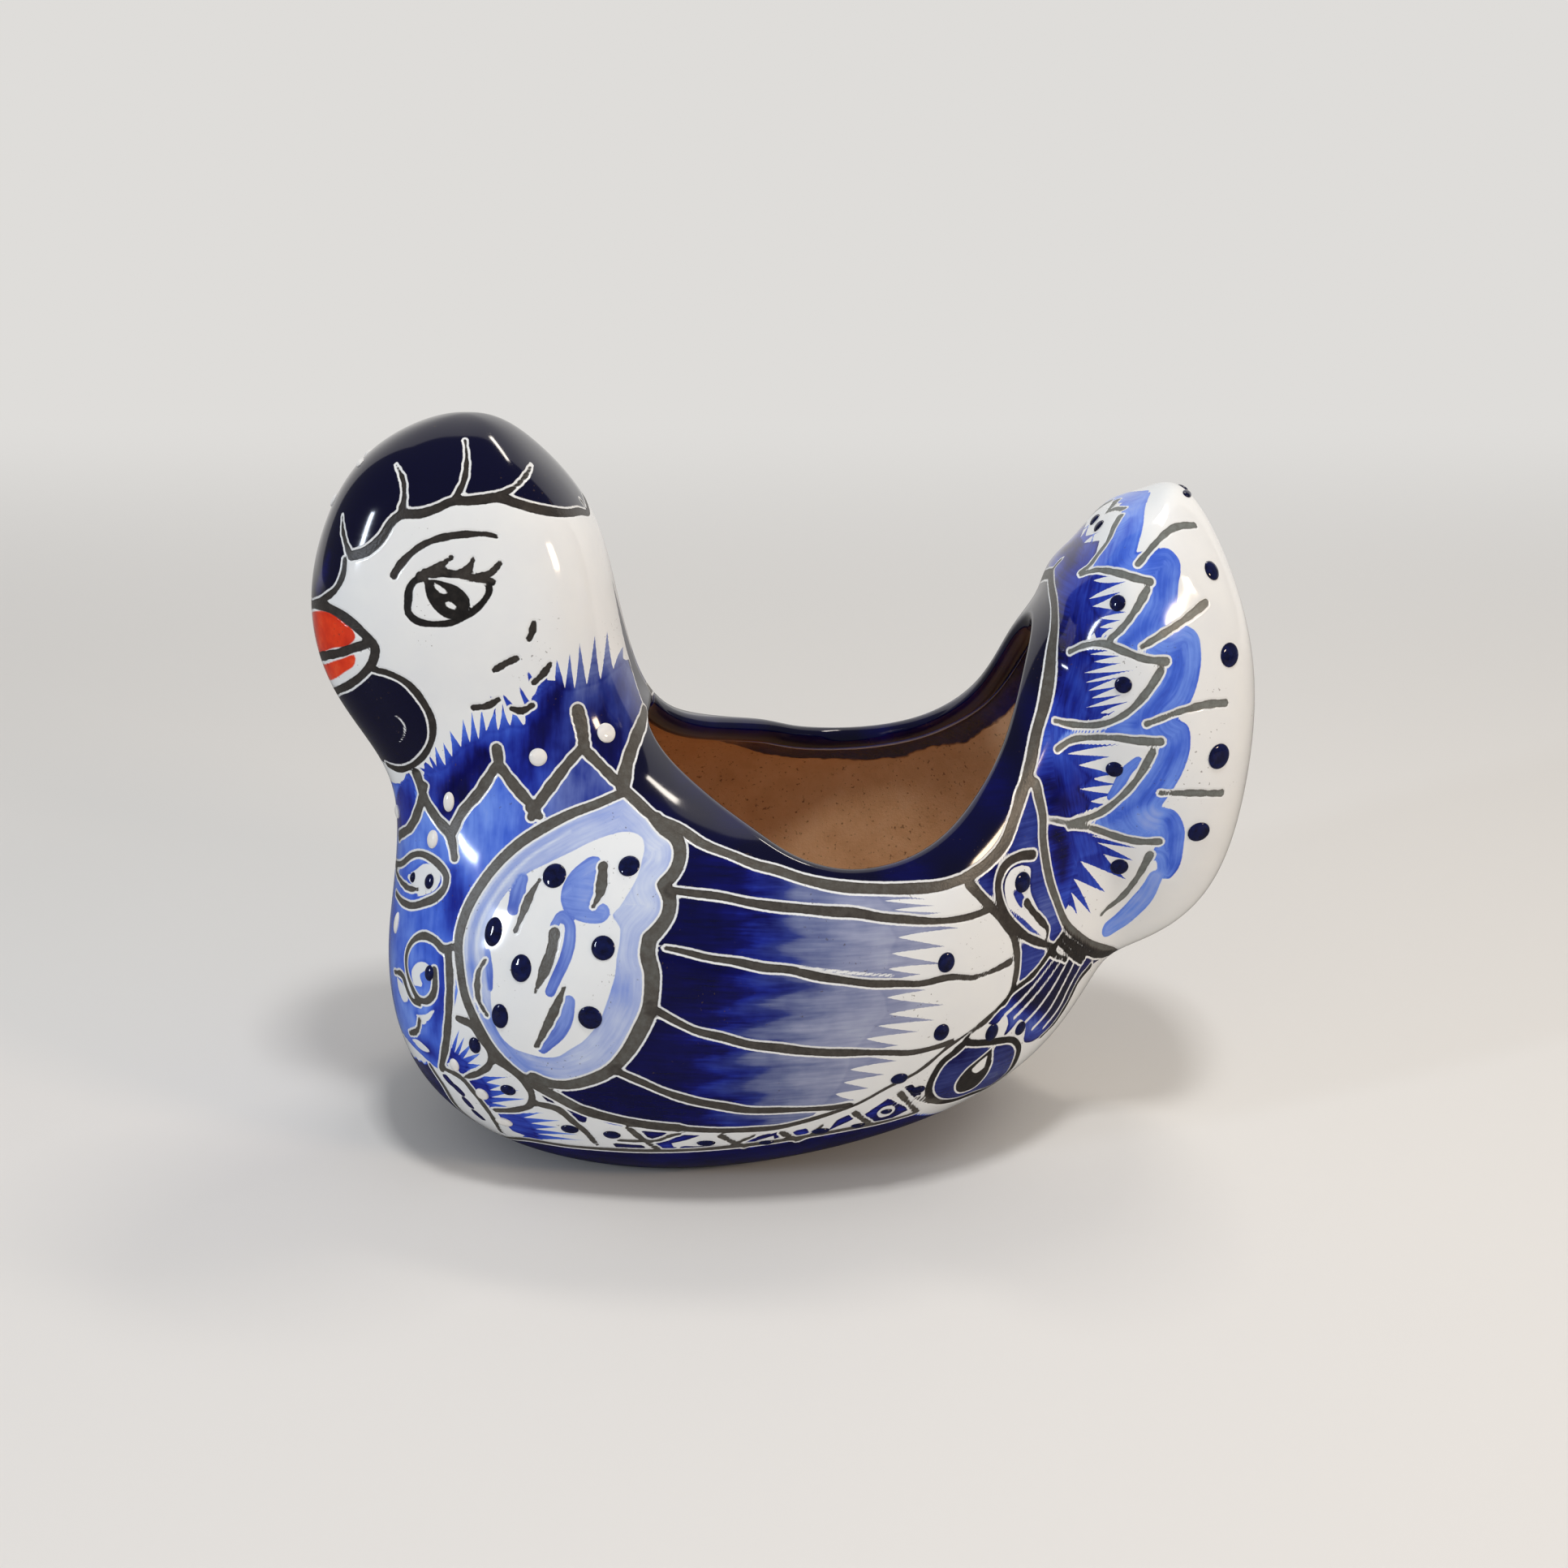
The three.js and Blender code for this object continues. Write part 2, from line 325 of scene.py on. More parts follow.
class Member(Enum):
    """The three clay members that are luted together."""

    HEAD = "head"
    BOWL = "bowl"
    TAIL = "tail"


@dataclass
class ShellGrid:
    """A fine grid over the left half: rows run along the hen and columns round it."""

    form: HenForm
    columns: int = 208
    lining_columns: int = 52
    lip_columns: int = 8
    row_spacing: float = 0.69
    flank: float = 1.1
    station: np.ndarray = field(init=False)
    around: np.ndarray = field(init=False)
    points: np.ndarray = field(init=False)
    normals: np.ndarray = field(init=False)
    closed: np.ndarray = field(init=False)
    middle: float = field(init=False)
    mouth_rows: tuple[int, int] = field(init=False)
    spans: dict = field(init=False)

    def __post_init__(self) -> None:
        """Lays out the rows and works out the outer skin's points and normals."""
        form = self.form
        neck = form.mouth[0] - form.joint_margin
        crease = form.mouth[1] + form.joint_margin
        share = np.linspace(0, 1, self.columns + 1)
        stations, arounds, marks = [], [], [0]
        stops = [0, neck, form.mouth[0], form.mouth[1], crease, form.last]
        for low, high in zip(stops, stops[1:]):
            even = np.linspace(0, 1, self.rows_between(low, high) + 1)[:, None]
            if low != 0:
                even = even[1:]
            crowded = (1 - np.cos(np.pi * even)) / 2
            open_ = low == form.mouth[0]
            mixed = even + (crowded - even) * share**2 if open_ else even + 0 * share
            rim = crowded if open_ else even
            stations.append(low + (high - low) * mixed)
            arounds.append(form.rim_round(low + (high - low) * rim) * share)
            marks.append(marks[-1] + len(even) - (1 if low == 0 else 0))
        self.station = np.concatenate(stations)
        self.around = np.concatenate(arounds)
        self.points = form.skin(self.station, self.around)
        self.normals = form.normal(self.station, self.around)
        self.normals[0] = form.pole_normal(0)
        self.normals[-1] = form.pole_normal(form.last)
        self.points[:, 0, 1] = 0
        self.closed = self.around[:, -1] >= np.pi
        self.points[self.closed, -1, 1] = 0
        self.middle = (self.points[..., 0].min() + self.points[..., 0].max()) / 2
        self.mouth_rows = marks[2], marks[3]
        self.spans = {
            Member.HEAD: (0, marks[1]),
            Member.BOWL: (marks[1], marks[4]),
            Member.TAIL: (marks[4], marks[5]),
        }

    def rows_between(self, low: float, high: float) -> int:
        """How many rows a stretch of stations takes, going by its length along the side."""
        stations = np.linspace(low, high, 60)
        side = self.form.skin(stations, np.full(60, self.flank))
        return max(1, math.ceil(np.linalg.norm(np.diff(side, axis=0), axis=1).sum() / self.row_spacing))


@dataclass(frozen=True)
class Stroke:
    """One pull of the brush: its pixels, its widths in millimetres and its load of cobalt."""

    pixels: tuple
    widths: tuple
    pigment: float
    fades_to: float | None = None
    soft: float = 0.35


@dataclass(frozen=True)
class Fringe:
    """A row of pointed licks of the brush: the notches between them, and the tip of each."""

    notches: tuple
    tips: tuple
    loads: tuple = (0.8, 0.5)


class Canvas:
    """The left half of the outer skin, as a painter meets it.

    A pixel of the photograph is cast on to the skin, and every brush stroke is measured
    on the skin in millimetres, so the paint lies the same from any side. OVERLAP is how far
    past its edge a stroke or a wash still loads bare glaze.
    """

    OVERLAP = 1.2

    def __init__(self, grid: ShellGrid, camera: PhotoCamera) -> None:
        """Gets the canvas ready.

        Args:
            grid: The skin's grid.
            camera: The photograph's camera.
        """
        self.grid = grid
        self.shape = grid.station.shape
        self.points = grid.points.reshape(-1, 3)
        self.normals = grid.normals.reshape(-1, 3)
        self.params = np.stack([grid.station.ravel(), grid.around.ravel()], -1)
        self.pixels = camera.project(self.points)
        count = len(self.points)
        self.pigment, self.grey, self.lick = (np.zeros(count) for _ in range(3))
        self.cover, self.reach, self.outline, self.scratch, self.vermilion = (
            np.full(count, FAR) for _ in range(5)
        )
        self.run = self.points[:, 0].copy()
        self.hair = self.points[:, 2].copy()
        self.tone = 0.5
        self.ink = np.full(count, self.tone)
        ray = self.points - camera.place
        self.seen = np.flatnonzero(np.einsum("ij,ij->i", self.normals, ray) < 0)
        self.tree = tree_of([(u, v, 0) for u, v in self.pixels[self.seen]])
        self.dots: list[tuple] = []

    def cast(self, pixels: tuple, reach: float = 9) -> np.ndarray:
        """Casts pixels on to the skin.

        A pixel outside the hen's outline goes on to the middle plane behind that outline.

        Args:
            pixels: Pixel columns and rows.
            reach: How far outside the outline, in pixels, still counts as on it.

        Returns:
            One row for each pixel: x, y, z, station, around.
        """
        rows, columns = self.shape
        both = np.concatenate([self.points, self.params], 1).reshape(rows, columns, 5)
        screen = self.pixels.reshape(rows, columns, 2)
        found = []
        for u, v in pixels:
            _, number, distance = self.tree.find((u, v, 0))
            i, j = divmod(int(self.seen[number]), columns)
            if distance > reach:
                found.append(both[i, 0 if self.params[i * columns + j, 1] < np.pi / 2 else columns - 1])
                continue
            i0, i1 = max(i - 1, 0), min(i + 1, rows - 1)
            j0, j1 = max(j - 1, 0), min(j + 1, columns - 1)
            down = (screen[i1, j] - screen[i0, j]) / (i1 - i0)
            across = (screen[i, j1] - screen[i, j0]) / (j1 - j0)
            slopes = np.stack([down, across], 1)
            if abs(np.linalg.det(slopes)) < 1e-3:
                found.append(both[i, j])
                continue
            di, dj = np.clip(np.linalg.solve(slopes, np.array([u, v]) - screen[i, j]), -1, 1)
            steps = (both[i1, j] - both[i0, j]) / (i1 - i0), (both[i, j1] - both[i, j0]) / (j1 - j0)
            found.append(both[i, j] + di * steps[0] + dj * steps[1])
        return np.array(found)

    def path(self, pixels: tuple, step: float = 1.2) -> np.ndarray:
        """A smooth path on the skin through cast pixels. A pixel given twice is a corner.

        Args:
            pixels: Pixel columns and rows.
            step: Distance between the path's points in millimetres.

        Returns:
            One row for each point: x, y, z, station, around.
        """
        runs, run = [], [pixels[0]]
        for pixel in pixels[1:]:
            if pixel == run[-1]:
                runs.append(run)
                run = [pixel]
            else:
                run.append(pixel)
        runs.append(run)
        return np.concatenate([smooth(self.cast(tuple(r)), step) for r in runs if len(r) > 1])

    def measure(self, path: np.ndarray, margin: float) -> tuple:
        """Measures the skin's vertices near a path.

        Args:
            path: Points on the skin.
            margin: How far from the path still counts, in millimetres.

        Returns:
            The vertices' numbers, their distance, their place along the path from 0 to 1, and
            how far they lie to its side.
        """
        line = path[:, :3]
        lengths = np.linalg.norm(np.diff(line, axis=0), axis=1)
        total = max(lengths.sum(), 1e-6)
        starts = np.concatenate([[0], np.cumsum(lengths)])
        best = {}
        piece = 10
        for first in range(0, len(line) - 1, piece):
            part = line[first : first + piece + 1]
            low, high = part.min(0) - margin, part.max(0) + margin
            near = np.flatnonzero(np.all((self.points > low) & (self.points < high), axis=1))
            if not len(near):
                continue
            a, b = part[:-1], part[1:]
            edge = b - a
            size = np.maximum((edge**2).sum(1), 1e-12)
            to = self.points[near][:, None] - a
            t = np.clip((to * edge).sum(2) / size, 0, 1)
            off = to - t[..., None] * edge
            distance = np.sqrt((off**2).sum(2))
            pick = distance.argmin(1)
            row = np.arange(len(near))
            along = (starts[first + pick] + t[row, pick] * np.sqrt(size[pick])) / total
            side = np.einsum("ij,ij->i", np.cross(edge[pick], off[row, pick]), self.normals[near])
            best[first] = (near, distance[row, pick], along, np.copysign(distance[row, pick], side))
        if not best:
            return (np.array([], int),) + (np.array([]),) * 3
        near = np.concatenate([v[0] for v in best.values()])
        rest = [np.concatenate([v[k] for v in best.values()]) for k in (1, 2, 3)]
        order = np.lexsort((rest[0], near))
        keep = order[np.concatenate([[True], np.diff(near[order]) > 0])]
        return near[keep], rest[0][keep], rest[1][keep], rest[2][keep]

    def edge_distance(self, path: np.ndarray, widths: tuple, margin: float = 1.5) -> tuple:
        """Signed distance to a stroke's edge, negative inside, besides what measure gives."""
        near, distance, along, side = self.measure(path, max(widths) / 2 + margin)
        first = widths[0] + (widths[1] - widths[0]) * ease(0, 0.5, along)
        width = first + (widths[2] - widths[1]) * ease(0.5, 1, along)
        return near, distance - width / 2, along, side

    def line(self, pixels: tuple, widths: tuple) -> None:
        """Draws a dark outline that the glaze draws back from."""
        path = self.path(pixels)
        wobble = np.random.default_rng(int(pixels[0][0] * 7 + pixels[0][1]))
        near, edge, along, _ = self.edge_distance(path, widths, 3)
        phase = wobble.uniform(0, 6, 2)
        edge = edge + 0.09 * np.sin(9 * along + phase[0]) + 0.06 * np.sin(31 * along + phase[1])
        self.outline[near] = np.minimum(self.outline[near], edge)
        self.ink[near[edge < 1]] = self.tone

    def flood(self, layer: np.ndarray, pixels: tuple) -> None:
        """Marks the inside of a closed route in a layer of edge distances."""
        near, distance, _, _ = self.measure(self.path((*pixels, pixels[0])), 12)
        signed = np.where(self.inside(pixels)[near], -distance, distance)
        layer[near] = np.minimum(layer[near], signed)
        if layer is self.outline:
            self.ink[near[signed < 1]] = self.tone

    def lines(self, *routes: tuple, widths: tuple) -> None:
        """Draws several outlines of the same widths."""
        for route in routes:
            self.line(route, widths)

    def bare(self, pixels: tuple, widths: tuple) -> None:
        """Draws a thin white line: glaze left bare, and in places a painted highlight."""
        near, edge, _, _ = self.edge_distance(self.path(pixels), widths, 3)
        self.scratch[near] = np.minimum(self.scratch[near], edge)

    def brush(self, stroke: Stroke) -> None:
        """Pulls one brush stroke."""
        fades_to = stroke.pigment if stroke.fades_to is None else stroke.fades_to
        self.pull(self.path(stroke.pixels), stroke.widths, (stroke.pigment, fades_to), stroke.soft)

    def shade(self, *strokes: Stroke) -> None:
        """Changes the load of what is painted already, without painting any further."""
        for stroke in strokes:
            near, edge, _, _ = self.edge_distance(self.path(stroke.pixels), stroke.widths, 3)
            share = ease(stroke.soft, -stroke.soft, edge)
            self.pigment[near] += share * (stroke.pigment - self.pigment[near])

    def pull(self, path: np.ndarray, widths: tuple, loads: tuple, soft: float) -> None:
        """Pulls the brush along a path that is already on the skin."""
        near, edge, along, side = self.edge_distance(path, widths)
        if not len(near):
            return
        bare = (self.cover[near] > 0) & (edge < self.OVERLAP)
        share = np.maximum(bare, ease(soft, -soft, edge))
        load = loads[0] + (loads[1] - loads[0]) * along
        self.pigment[near] += share * (load - self.pigment[near])
        wet = near[share > 0.5]
        length = np.linalg.norm(np.diff(path[:, :3], axis=0), axis=1).sum()
        self.hair[wet] = side[share > 0.5] + path[0, 2]
        self.run[wet] = along[share > 0.5] * length
        self.cover[near] = np.minimum(self.cover[near], edge)

    def fringe(self, fringe: Fringe) -> np.ndarray:
        """Marks a row of licks.

        Each vertex gets its place along the row, counted in licks, and how far out it lies,
        from 0 at the notches to 1 at the tips. The glaze draws the licks from those numbers.

        Returns:
            The numbers of the vertices that were bare before.
        """
        notches, tips = np.array(fringe.notches, float), np.array(fringe.tips, float)
        knots = np.arange(len(notches))
        place = np.linspace(0, knots[-1], 30 * knots[-1] + 1)
        roots = np.stack([np.interp(place, knots, notches[:, k]) for k in (0, 1)], 1)
        ends = np.stack([np.interp(place, knots[:-1] + 0.5, tips[:, k]) for k in (0, 1)], 1)
        way = ends - roots
        size = np.maximum(np.linalg.norm(way, axis=1), 1)
        low, high = np.minimum(roots, ends).min(0) - 8, np.maximum(roots, ends).max(0) + 8
        seen = self.pixels[self.seen]
        near = self.seen[np.all((seen > low) & (seen < high), axis=1)]
        off = self.pixels[near][:, None] - roots
        out = (off * way).sum(2) / size**2
        side = np.abs(off[..., 0] * way[:, 1] - off[..., 1] * way[:, 0]) / size
        side = np.where((out > -0.4) & (out < 1.4), side, FAR)
        pick = side.argmin(1)
        row = np.arange(len(near))
        hit = side[row, pick] < 3
        near, pick, out = near[hit], pick[hit], out[row, pick][hit]
        self.lick[near] = place[pick]
        self.reach[near] = out
        open_ = self.cover[near] > 0
        loads = fringe.loads[0] + (fringe.loads[1] - fringe.loads[0]) * np.clip(out, 0, 1)
        self.pigment[near[open_]] = loads[open_]
        return near[open_]

    def inside(self, pixels: tuple, ends: tuple = ()) -> np.ndarray:
        """Which vertices lie inside a closed route.

        Args:
            pixels: The route's pixels, in order.
            ends: (station, around) pairs that close the route where the photograph can't.

        Returns:
            One truth value for each vertex.
        """
        route = self.path(pixels, 1.5)[:, 3:5]
        route = np.concatenate([route, np.array(ends, float).reshape(-1, 2)])
        low, high = route.min(0), route.max(0)
        near = np.flatnonzero(np.all((self.params >= low) & (self.params <= high), axis=1))
        s, r = self.params[near].T
        odd = np.zeros(len(near), bool)
        for (s0, r0), (s1, r1) in zip(route, np.roll(route, -1, 0)):
            if r0 == r1:
                continue
            crosses = (r0 > r) != (r1 > r)
            odd ^= crosses & (s < s0 + (r - r0) * (s1 - s0) / (r1 - r0))
        mask = np.zeros(len(self.params), bool)
        mask[near[odd]] = True
        return mask

    def region(self, pixels: tuple, ends: tuple = (), margin: float = 3) -> tuple:
        """Which vertices lie in a closed route, how far from its border, and where along it.

        Returns:
            The mask, the distance in millimetres, negative inside, and the length along the border.
        """
        mask = self.inside(pixels, ends)
        border = self.path(pixels if ends else (*pixels, pixels[0]))
        near, distance, along, _ = self.measure(border, margin)
        signed = np.where(mask, -FAR, FAR)
        signed[near] = np.where(mask[near], -distance, distance)
        length = np.zeros(len(mask))
        length[near] = along * np.linalg.norm(np.diff(border[:, :3], axis=0), axis=1).sum()
        return mask, signed, length

    def fill(
        self, pigment: float, pixels: tuple, ends: tuple = (), mottle: float = 0.03, grain: float = 0,
        upright: bool = False, grey: float | None = None,
    ) -> np.ndarray:
        """Floods a closed route with a wash that is a little uneven.

        Args:
            pigment: How much cobalt the wash holds.
            pixels: The closed route.
            ends: (station, around) pairs that close the route where the photograph can't.
            mottle: How uneven the wash is.
            grain: How far in, in millimetres, the brush followed the border.
            upright: Whether the brush went up and down, instead of along the hen.
            grey: How smoky the cobalt is, from 0 to 1, or None for what is there.

        Returns:
            One truth value for each vertex: whether it was painted.
        """
        mask, signed, length = self.region(pixels, ends, max(3, grain))
        wet = mask | ((signed < self.OVERLAP) & (self.cover > 0))
        x, y, z = self.points[wet].T
        cloud = np.sin(x / 3.1 + z / 4.3) * np.sin(y / 3.7 - z / 5.9 + 1) + np.sin(x / 8.3 - z / 6.1 + 2)
        self.pigment[wet] = np.clip(pigment + mottle * cloud, 0, 1)
        if grain:
            brushed = wet & (signed > -FAR)
            self.hair[brushed], self.run[brushed] = signed[brushed], length[brushed]
        if upright:
            self.hair[wet], self.run[wet] = x / 2, z
        if grey is not None:
            self.grey[wet] = grey
        self.cover = np.minimum(self.cover, signed)
        return wet

    def clear(self, *routes: tuple) -> None:
        """Leaves closed routes white."""
        for pixels in routes:
            self.cover = np.maximum(self.cover, -self.region(pixels)[1])

    def dot(self, pixel: Px, radii: tuple[float, float], pale: bool = False) -> None:
        """Notes a trailed dot of glaze: its place, its radii across and up, and whether it is white."""
        row = self.cast((pixel,))[0]
        station, around = row[3:4], row[4:5]
        normal = self.grid.form.normal(station, around)[0]
        self.dots.append((row[:3], normal, radii, pale, row[3]))

    def trail(self, spots: tuple, pale: bool = False) -> None:
        """Notes several dots, each given as its pixel and its radii across and up."""
        for place, across, up in spots:
            self.dot(place, (across, up), pale)


def sharp(pixels: tuple) -> tuple:
    """The same pixels with a corner at each."""
    return tuple(pixel for pixel in pixels for _ in (0, 1))


def smooth(points: np.ndarray, step: float) -> np.ndarray:
    """A smooth curve through points.

    Args:
        points: The points, one a row. The first three columns are its place.
        step: Distance between the curve's points.

    Returns:
        The curve's points.
    """
    gaps = np.maximum(np.linalg.norm(np.diff(points[:, :3], axis=0), axis=1), 1e-6)
    slopes = np.diff(points, axis=0) / gaps[:, None]
    tangents = np.concatenate([slopes[:1], np.zeros((len(points) - 2, points.shape[1])), slopes[-1:]])
    if len(points) > 2:
        weight = gaps[:-1, None] / (gaps[:-1] + gaps[1:])[:, None]
        tangents[1:-1] = slopes[:-1] * (1 - weight) + slopes[1:] * weight
    curve = []
    for k, gap in enumerate(gaps):
        t = np.linspace(0, 1, max(2, math.ceil(gap / step) + 1))[:, None]
        if k:
            t = t[1:]
        rise = (1 + 2 * t) * (1 - t) ** 2 * points[k] + t * t * (3 - 2 * t) * points[k + 1]
        curve.append(rise + gap * (t * (1 - t) ** 2 * tangents[k] - t * t * (1 - t) * tangents[k + 1]))
    return np.concatenate(curve)


@dataclass(frozen=True)
class HeadPainting:
    """Comb, brow, eye, cheeks, beak and wattle. Routes are pixels of the photograph."""

    comb_border: tuple = (
        (433, 685), (450, 680), (470, 663), (483, 643), (493, 635), (517, 633), (537, 627), (557, 618),
        (577, 617), (597, 615), (613, 613), (630, 618), (653, 625), (677, 630), (697, 632), (713, 630),
        (727, 622), (737, 604),
    )
    front_lock: tuple = ((368, 738), (383, 738), (400, 737), (413, 727), (423, 707), (425, 690))
    lock_reflection: tuple = ((405, 684), (398, 708), (392, 724))
    locks: tuple = (
        ((488, 572), (497, 593), (498, 613), (495, 630)), ((573, 542), (575, 567), (570, 597), (560, 615)),
        ((655, 572), (647, 587), (630, 603), (610, 613)), ((422, 635), (423, 657), (430, 681)),
    )
    brow: tuple = (
        (485, 709), (490, 700), (502, 686), (515, 675), (530, 667), (547, 662), (565, 659), (583, 658),
        (598, 658), (612, 661),
    )
    eye: tuple = (
        (523, 712), (512, 715), (504, 727), (503, 740), (503, 755), (510, 763), (523, 768), (540, 769),
        (557, 767), (573, 760), (587, 750), (598, 738), (603, 728), (602, 719),
    )
    lid: tuple = ((517, 709), (540, 706), (562, 708), (585, 713), (607, 717))
    lid_glint: tuple = ((546, 713), (566, 715), (584, 719), (598, 721))
    lashes: tuple = (
        ((524, 706), (541, 698), (556, 687)), ((566, 707), (578, 700), (583, 689)),
        ((588, 713), (606, 705), (616, 694)),
    )
    iris: tuple = (
        (523, 715), (525, 733), (533, 748), (545, 759), (563, 763), (577, 752), (579, 740), (573, 730),
        (563, 722), (548, 717), (533, 714),
    )
    glints: tuple = (
        ((535, 718), (542, 722), (552, 731), (547, 732), (539, 728), (535, 723)),
        ((548, 743), (555, 741), (560, 745), (564, 750), (555, 750), (550, 747)),
    )
    cheek_dashes: tuple = (
        ((658, 767), (656, 778), (652, 787)), ((637, 811), (624, 817), (609, 826)),
        ((678, 818), (668, 832), (658, 841)), ((614, 862), (600, 870), (584, 872)),
        ((656, 869), (643, 876), (630, 873)),
    )
    beak: tuple = (
        (380, 744), (390, 745), (413, 753), (433, 767), (450, 783), (462, 797), (460, 813), (448, 830),
        (433, 842), (417, 850), (408, 852),
    )
    gape: tuple = ((388, 808), (405, 807), (420, 804), (437, 798), (455, 793))
    upper_bill: tuple = (
        (378, 752), (387, 753), (407, 755), (427, 767), (438, 785), (430, 795), (413, 798), (392, 802),
        (380, 802),
    )
    lower_bill: tuple = (
        (385, 818), (398, 818), (420, 812), (438, 808), (437, 818), (425, 828), (407, 838), (395, 840),
    )
    wattle: tuple = (
        (455, 824), (480, 830), (503, 843), (520, 863), (532, 887), (533, 907), (525, 927), (510, 942),
        (493, 948), (477, 942),
    )
    wattle_front: tuple = ((455, 935), (425, 885), (400, 850), (420, 850), (440, 838))
    wattle_mark: tuple = ((487, 882), (494, 887), (498, 893), (498, 905), (492, 915))
    pearls: tuple = (((444, 570), 1.9, 1.1), ((413, 613), 1.5, 1.5))

    def paint(self, canvas: Canvas) -> None:
        """Paints the head on the canvas."""
        first, last = canvas.cast((self.front_lock[0], self.comb_border[-1]))[:, 3]
        crown = ((last, 4), (-1, 4), (-1, -1), (first, -1))
        canvas.tone = 0.8
        canvas.fill(1.0, (*self.front_lock, *self.comb_border), crown, mottle=0)
        # Painted reflection: a faint paler streak down the navy front lock.
        canvas.shade(Stroke(self.lock_reflection, (1, 3, 3), 0.95, soft=1.2))
        canvas.fill(1.0, (*self.wattle, *self.wattle_front), mottle=0)
        canvas.flood(canvas.vermilion, self.upper_bill)
        canvas.flood(canvas.vermilion, self.lower_bill)
        canvas.lines(self.comb_border, self.beak, self.gape, widths=(2.0, 2.2, 1.8))
        canvas.line(self.front_lock, (1.2, 1.4, 1.6))
        canvas.lines(*self.locks, widths=(0.5, 1.0, 1.6))
        canvas.line(self.brow, (1.7, 1.6, 1.1))
        canvas.line(self.wattle, (1.4, 1.7, 1.4))
        canvas.tone = 0.97
        canvas.flood(canvas.outline, self.iris)
        canvas.line(self.eye, (1.6, 1.6, 1.3))
        canvas.line(self.lid, (1.5, 2.0, 1.5))
        canvas.tone = 0.75
        canvas.lines(*self.lashes, widths=(2.0, 1.6, 1.1))
        canvas.bare(self.lid_glint, (0.6, 0.7, 0.6))
        canvas.lines(*self.cheek_dashes, widths=(1.3, 1.6, 1.3))
        for glint in self.glints:
            canvas.flood(canvas.scratch, glint)
        canvas.bare(self.wattle_mark, (0.3, 0.6, 0.3))
        canvas.trail(self.pearls, pale=True)


